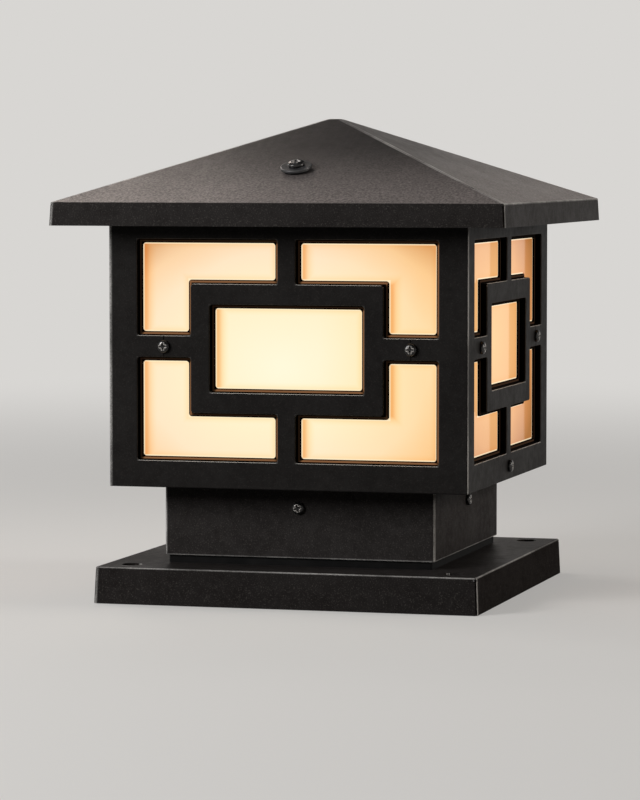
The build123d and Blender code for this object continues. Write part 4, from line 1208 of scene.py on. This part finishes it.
@dataclass
class Fasteners:
    """All screws that show on the light or inside it, and the lamp's threads. Sizes in millimetres."""

    sizes: Sizes
    pan: float = 104.4
    bracket: Span = (92.5, 104.0)
    terminal: Span = (-57.0, 50.0)
    earth: Span = (57.0, 50.0)
    head: float = 8.2
    height: float = 3.0
    shank: float = 3.8
    roof_screw: PanScrew = PanScrew(head=11.0, height=3.2, shank=5.8, reach=13.9)

    def outside(self) -> list[Fixing]:
        """List the screw groups that show on the closed light.

        Returns:
            One fixing for each CAD node of screws.
        """
        s, black = self.sizes, "black_steel"
        face, level = -s.lantern[0], s.level("lattice_screws")
        lattice = [(side * s.lattice_screw_place, face, level) for side in (-1, 1)]
        floor_side = [(0.0, face, s.level("floor_side_screws"))]
        neck = [(0.0, -s.neck[0], s.level("neck_screws"))]
        roof = all_round([s.on_roof(s.seal_height + s.washer_height)], s.roof_normal, ENDS)
        return [
            self._small("lattice_screws", 15.2, lattice, OUTWARD, slot=black),
            self._small("floor_side_screws", 16.6, floor_side, OUTWARD, FLANKS, 24.0, black),
            self._small("neck_screws", 8.0, neck, OUTWARD, tilt=30.0, slot=black),
            Fixing("roof_screws", "roof", black, self.roof_screw, *roof, 14.0),
        ]

    def inside(self) -> list[Fixing]:
        """List the screw groups inside the lantern.

        Returns:
            One fixing for each CAD node of screws.
        """
        s, rise, front = self.sizes, self.head / 2, (Quarter.FRONT,)
        collar = [(0.0, rise - s.block("collar_screws")[0], self._seat("collar_screws"))]
        pan = [(0.0, -self.pan, s.level("floor_inner_screws"))]
        bracket_level, holder_seat = s.level("corner_bracket_screws"), self._seat("holder_screws")
        bracket = [(side * self.bracket[0], -self.bracket[1], bracket_level) for side in (-1, 1)]
        holder = [(side * (s.block("holder_screws")[0] - rise), 0.0, holder_seat) for side in (-1, 1)]
        terminal = [(*self.terminal, self._seat("terminal_fixing_screw"))]
        earth = [(*self.earth, self._seat("earth_screw"))]
        return [
            self._small("collar_screws", 5.5, collar, UPWARD, tilt=35.0),
            self._small("floor_inner_screws", 10.1, pan, INWARD, ENDS, 20.0),
            self._small("corner_bracket_screws", 10.5, bracket, INWARD, tilt=30.0),
            self._small("holder_screws", 7.0, holder, UPWARD, front),
            self._small("terminal_fixing_screw", 19.5, terminal, UPWARD, front),
            self._small("earth_screw", 4.5, earth, UPWARD, front, slot="brass"),
        ]

    def threads(self) -> list[ThreadedSleeve]:
        """List the lamp's threaded sleeves: its cap and the holder's shell.

        Returns:
            One sleeve for each CAD node.
        """
        cap, shell = self.sizes.block("bulb_cap"), self.sizes.block("holder_shell")
        return [ThreadedSleeve("bulb_cap", "bulb_cap_body", "bare_metal", cap[0], 0.5, *cap[1:]),
                ThreadedSleeve("holder_shell", "lantern", "brass", shell[0], 0.4, *shell[1:], depth=0.4)]

    def _small(self, node: str, reach: float, points: Sequence[Sequence[float]], outward: Triple,
               sides: Iterable[Quarter] = tuple(Quarter), tilt: float = 6.0,
               slot: str = "zinc_steel") -> Fixing:
        """Small pan head screws of one node, all on the lantern.

        Args:
            node: CAD node that they stand for.
            reach: Length of their shank.
            points: Their seats on the front side.
            outward: Direction that these face.
            sides: Sides to repeat them on.
            tilt: Greatest turn of a recess, in degrees.
            slot: Record's slot for their finish.

        Returns:
            The group of screws.
        """
        screw = PanScrew(self.head, self.height, self.shank, reach)
        return Fixing(node, "lantern", slot, screw, *all_round(points, outward, sides), tilt)

    def _seat(self, node: str) -> float:
        """Level that the heads of a node's upright screws stand on."""
        return self.sizes.block(node)[2] - self.height

    def build(self, finishes: Mapping[str, Material]) -> None:
        """Make every group of screws and both threads.

        Args:
            finishes: Materials by slot.
        """
        for made in (*self.outside(), *self.inside(), *self.threads()):
            made.build(finishes[made.slot])


@dataclass
class Camera:
    """Camera at the photograph's place: metres, degrees and millimetres of lens and sensor."""

    place: Triple = (0.65987, -2.40686, 0.29065)
    turn: float = 15.57
    drop: float = 3.76
    lens: float = 167.41
    sensor: float = 36.0

    def build(self) -> bpy.types.Object:
        """Make the camera and look through it.

        Returns:
            The camera object.
        """
        data = bpy.data.cameras.new("camera")
        data.sensor_fit = "VERTICAL"
        data.sensor_width = self.sensor
        data.sensor_height = self.sensor
        data.lens = self.lens
        camera = bpy.data.objects.new("camera", data)
        camera.location = self.place
        camera.rotation_euler = (math.radians(90 - self.drop), 0.0, math.radians(self.turn))
        bpy.context.scene.collection.objects.link(camera)
        bpy.context.scene.camera = camera
        return camera


@dataclass(frozen=True)
class SoftBox:
    """Rectangular studio lamp that looks at the light: metres and watts."""

    name: str
    place: Triple
    size: Span
    power: float
    colour: str = "#ffffff"

    def build(self, aim: Sequence[float]) -> bpy.types.Object:
        """Make the lamp.

        Args:
            aim: Point that the lamp faces.

        Returns:
            The lamp object.
        """
        data = bpy.data.lights.new(self.name, "AREA")
        data.shape = "RECTANGLE"
        data.size, data.size_y = self.size
        data.energy = self.power
        data.color = linear(self.colour)[:3]
        lamp = bpy.data.objects.new(self.name, data)
        lamp.location = self.place
        lamp.visible_camera = False
        away = np.array(self.place) - np.array(aim)
        flat = math.hypot(away[0], away[1])
        lamp.rotation_euler = (math.atan2(flat, away[2]), 0.0, math.atan2(away[0], -away[1]))
        bpy.context.scene.collection.objects.link(lamp)
        return lamp


@dataclass
class Studio:
    """Pale round sweep, soft lamps and a grey sky. Sizes in metres."""

    sky_colour: str = "#c9ccd0"
    sky_level: float = 0.08
    floor_radius: float = 5.0
    bend_radius: float = 1.6
    wall_top: float = 2.4
    sink: float = 0.0002
    floor_start: float = 0.02
    floor_rows: int = 12
    bend_rows: int = 24
    columns: int = 96
    lamps: tuple[SoftBox, ...] = (
        SoftBox("key_box", (-1.1, -1.4, 0.85), (0.8, 0.8), 22.0),
        SoftBox("roof_box", (-0.33, 0.28, 0.66), (0.22, 0.16), 0.7, "#fff1e6"),
        SoftBox("rim_box", (-1.9, 0.5, 0.5), (0.25, 1.1), 9.0),
        SoftBox("back_box", (-0.55, 2.6, 0.85), (1.3, 0.5), 2.4, "#fff3ea"),
        SoftBox("side_box", (2.0, 0.25, 0.8), (0.5, 0.8), 15.0, "#fff9f2"),
        SoftBox("top_box", (-0.2, -0.3, 2.3), (1.2, 1.0), 3.0),
    )

    def sweep(self) -> bpy.types.Object:
        """Make the floor that curves up into a wall all round.

        The profile is a straight line, a quarter circle and a straight wall, carried round Z.

        Returns:
            The stage piece.
        """
        bend = np.linspace(0.0, np.pi / 2, self.bend_rows)
        floor = np.linspace(self.floor_start, self.floor_radius, self.floor_rows)
        radius = np.concatenate([floor, self.floor_radius + self.bend_radius * np.sin(bend),
                                 [self.floor_radius + self.bend_radius]])
        level = np.concatenate([np.zeros_like(floor), self.bend_radius * (1 - np.cos(bend)), [self.wall_top]])
        skin = Skin.round_grid(turned_grid(radius, level - self.sink, self.columns)[::-1])
        # The fan over the wall's top comes first and is left off, so that the sweep stays open above.
        skin.caps = skin.caps[self.columns:]
        made = skin.piece("studio_sweep", StudioPaper().build())
        return made

    def build(self) -> None:
        """Make the stage, the lamps, the sky and the camera."""
        self.sweep()
        aim = [(low + high) / 2 for low, high in zip(*CAD_BOX)]
        for lamp in self.lamps:
            lamp.build(aim)
        world = bpy.data.worlds.new("studio_sky")
        world.use_nodes = True
        sky = world.node_tree.nodes["Background"]
        sky.inputs["Color"].default_value = linear(self.sky_colour)
        sky.inputs["Strength"].default_value = self.sky_level
        bpy.context.scene.world = world
        bpy.context.scene.view_settings.view_transform = "Standard"
        Camera().build()


@dataclass
class Dressing:
    """Finishes of the CAD nodes, chosen by the record's slots or by node."""

    sizes: Sizes
    glow_steps: tuple[float, ...] = (0.0, 0.42, 0.70, 0.88, 1.0)
    end_glow: tuple[str, ...] = ("#fdf5d8", "#fdedc8", "#fee4c3", "#f8d2a6", "#e0ab78")
    # The flanks' glow is darker and more orange: painted shade.
    flank_glow_shaded: tuple[str, ...] = ("#f4c082", "#ecb377", "#dfa26a", "#c68a5b", "#ab774a")
    # On the flanks the glow's middle lies higher and further to one side, in metres.
    flank_lift: float = 0.014
    flank_lean: float = -0.024
    # Share of the roof's rise that the dust and painted light reach.
    dust_and_light_reach: float = 0.7

    def finishes(self) -> dict[str, Material]:
        """Build the material of every slot.

        Returns:
            Materials by slot.
        """
        low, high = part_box("bulb_globe")
        return {
            # Pale rubbed colour on the black screws, with low metallic: wear and painted glint round the
            # recess.
            "black_steel": PlatedMetal("steel_black_zinc_plated", "#111112", "#0a0a0b", "#d2cdc7",
                                       metallic=0.35, roughness=(0.16, 0.30)).build(),
            "zinc_steel": PlatedMetal("steel_zinc_plated", "#b4b7ba", "#8f9396", "#d4d6d8").build(),
            "brass": PlatedMetal("brass_turned", "#c7a052", "#8f6f35", "#e3c47e").build(),
            "bare_metal": PlatedMetal("nickel_rolled_thread", "#bdbab2", "#96938b", "#d9d6cd").build(),
            "rubber": Rubber().build(),
            "porcelain": GlazedPorcelain().build(),
            "bulb_glass": LampGlass(foot=low.z, top=high.z).build(),
            "dark_glass": FusedGlass().build(),
        }

    def coats(self) -> dict[str, Material]:
        """Build the powder coat of every coated node.

        Returns:
            Materials by node.
        """
        s, fold = self.sizes, self.sizes.roof_fold
        ends = PowderCoat("powder_coat_black_end_panels", shade="#2a2827", deep="#232120", salt=0.10,
                          corner_mm=2.3, lattice=s.lattice(), face=s.lantern[0] * MM)
        # On the flanks the lip's painted glow is darker: painted shade.
        flanks = replace(ends, name="powder_coat_black_flank_panels",
                         lip_glow=("#080503", "#140d08", "#38261a"))
        coats = self._all_sides("panel", ends, flanks)
        sheet = PowderCoat("folded_sheet", corner_mm=2.0, seam_mm=0.55)
        # The level edges below are painted pale: painted highlights on the roof's flank eaves, the tray's top
        # edge and the neck's foot.
        others = [
            replace(sheet, name="roof_cap", flank_edges=self._rim(fold, s.roof[0] - s.fascia_lean),
                    dust_and_light_amount=0.88, dust_and_light_levels=(fold * MM, (fold + self.dust_and_light_reach * s.roof_rise) * MM),
                    streaks=0.05, sheen=(0.032, 0.26)),
            replace(sheet, name="base_tray", edges=self._rim(s.tray[2], s.tray[0] - s.tray_lean),
                    sheen=(0.0, 0.02)),
            # The neck's coat is lighter than the other black coats: painted light.
            PowderCoat("neck_sleeve", self._rim(s.neck[1], s.neck[0]), shade="#3a3736", deep="#302d2c",
                       sheen=(0.006, 0.04)),
            PowderCoat("neck_collar"),
            PowderCoat("floor_pan", dust_and_light_amount=0.1),
        ]
        for coat in others:
            coats[coat.name] = replace(coat, name="powder_coat_black_" + coat.name).build()
        return coats

    def diffusers(self) -> dict[str, Material]:
        """Build the lit opal of the diffusers: the ends are cream, the flanks a deeper, dimmer copy in
        painted shade.

        Returns:
            Materials by node.
        """
        lamp = self.sizes.level("bulb_globe") * MM
        low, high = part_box("front_diffuser")
        cream, deep = (tuple(zip(self.glow_steps, glow)) for glow in (self.end_glow, self.flank_glow_shaded))
        ends = OpalAcrylic("opal_acrylic_lit_ends", self.sizes.lattice(), cream, -(low.y + high.y) / 2, lamp)
        flanks = replace(ends, name="opal_acrylic_lit_flanks", glow=deep, lamp_level=lamp + self.flank_lift,
                         lean=self.flank_lean)
        return self._all_sides("diffuser", ends, flanks)

    @staticmethod
    def _all_sides(part: str, ends: Finish, flanks: Finish) -> dict[str, Material]:
        """Materials by node of a part that every side has, one for both ends and one for both flanks."""
        made = ends.build(), flanks.build()
        return {f"{side.name.lower()}_{part}": made[side.value % 2] for side in Quarter}

    @staticmethod
    def _rim(level: float, half: float) -> tuple[Span, ...]:
        """One level edge, from millimetres to metres."""
        return ((level * MM, half * MM),)

    def build(self) -> dict[str, Material]:
        """Give every CAD node its finish.

        Returns:
            Materials by slot, for the pieces that stand for CAD nodes.
        """
        finishes = self.finishes()
        # The washers' grey stands in for the reflection on black oxide: painted reflection.
        washers = PlatedMetal("steel_black_oxide_pressed", "#6a6a6a", "#4c4c4d", "#8d8d8d", metallic=0.6,
                              roughness=(0.26, 0.38), spangle_mm=7.0).build()
        by_node = {**self.coats(), **self.diffusers(), "roof_washers": washers}
        for part in frame["record"]["subparts"]:
            node, slot = part["node"], part["material_slot"]
            finish = by_node.get(node) or finishes[slot]
            materials = frame["nodes"][node].data.materials
            materials.clear()
            materials.append(finish)
            LOG.info("%s wears %s", node, finish.name)
        return finishes


def main() -> None:
    """Build the studio, the finishes and the detailed pieces in order."""
    logging.basicConfig(level=logging.INFO, format="%(name)s: %(message)s")
    sizes = Sizes()
    Studio().build()
    finishes = Dressing(sizes).build()
    Fasteners(sizes).build(finishes)


if __name__ == "__main__":
    main()
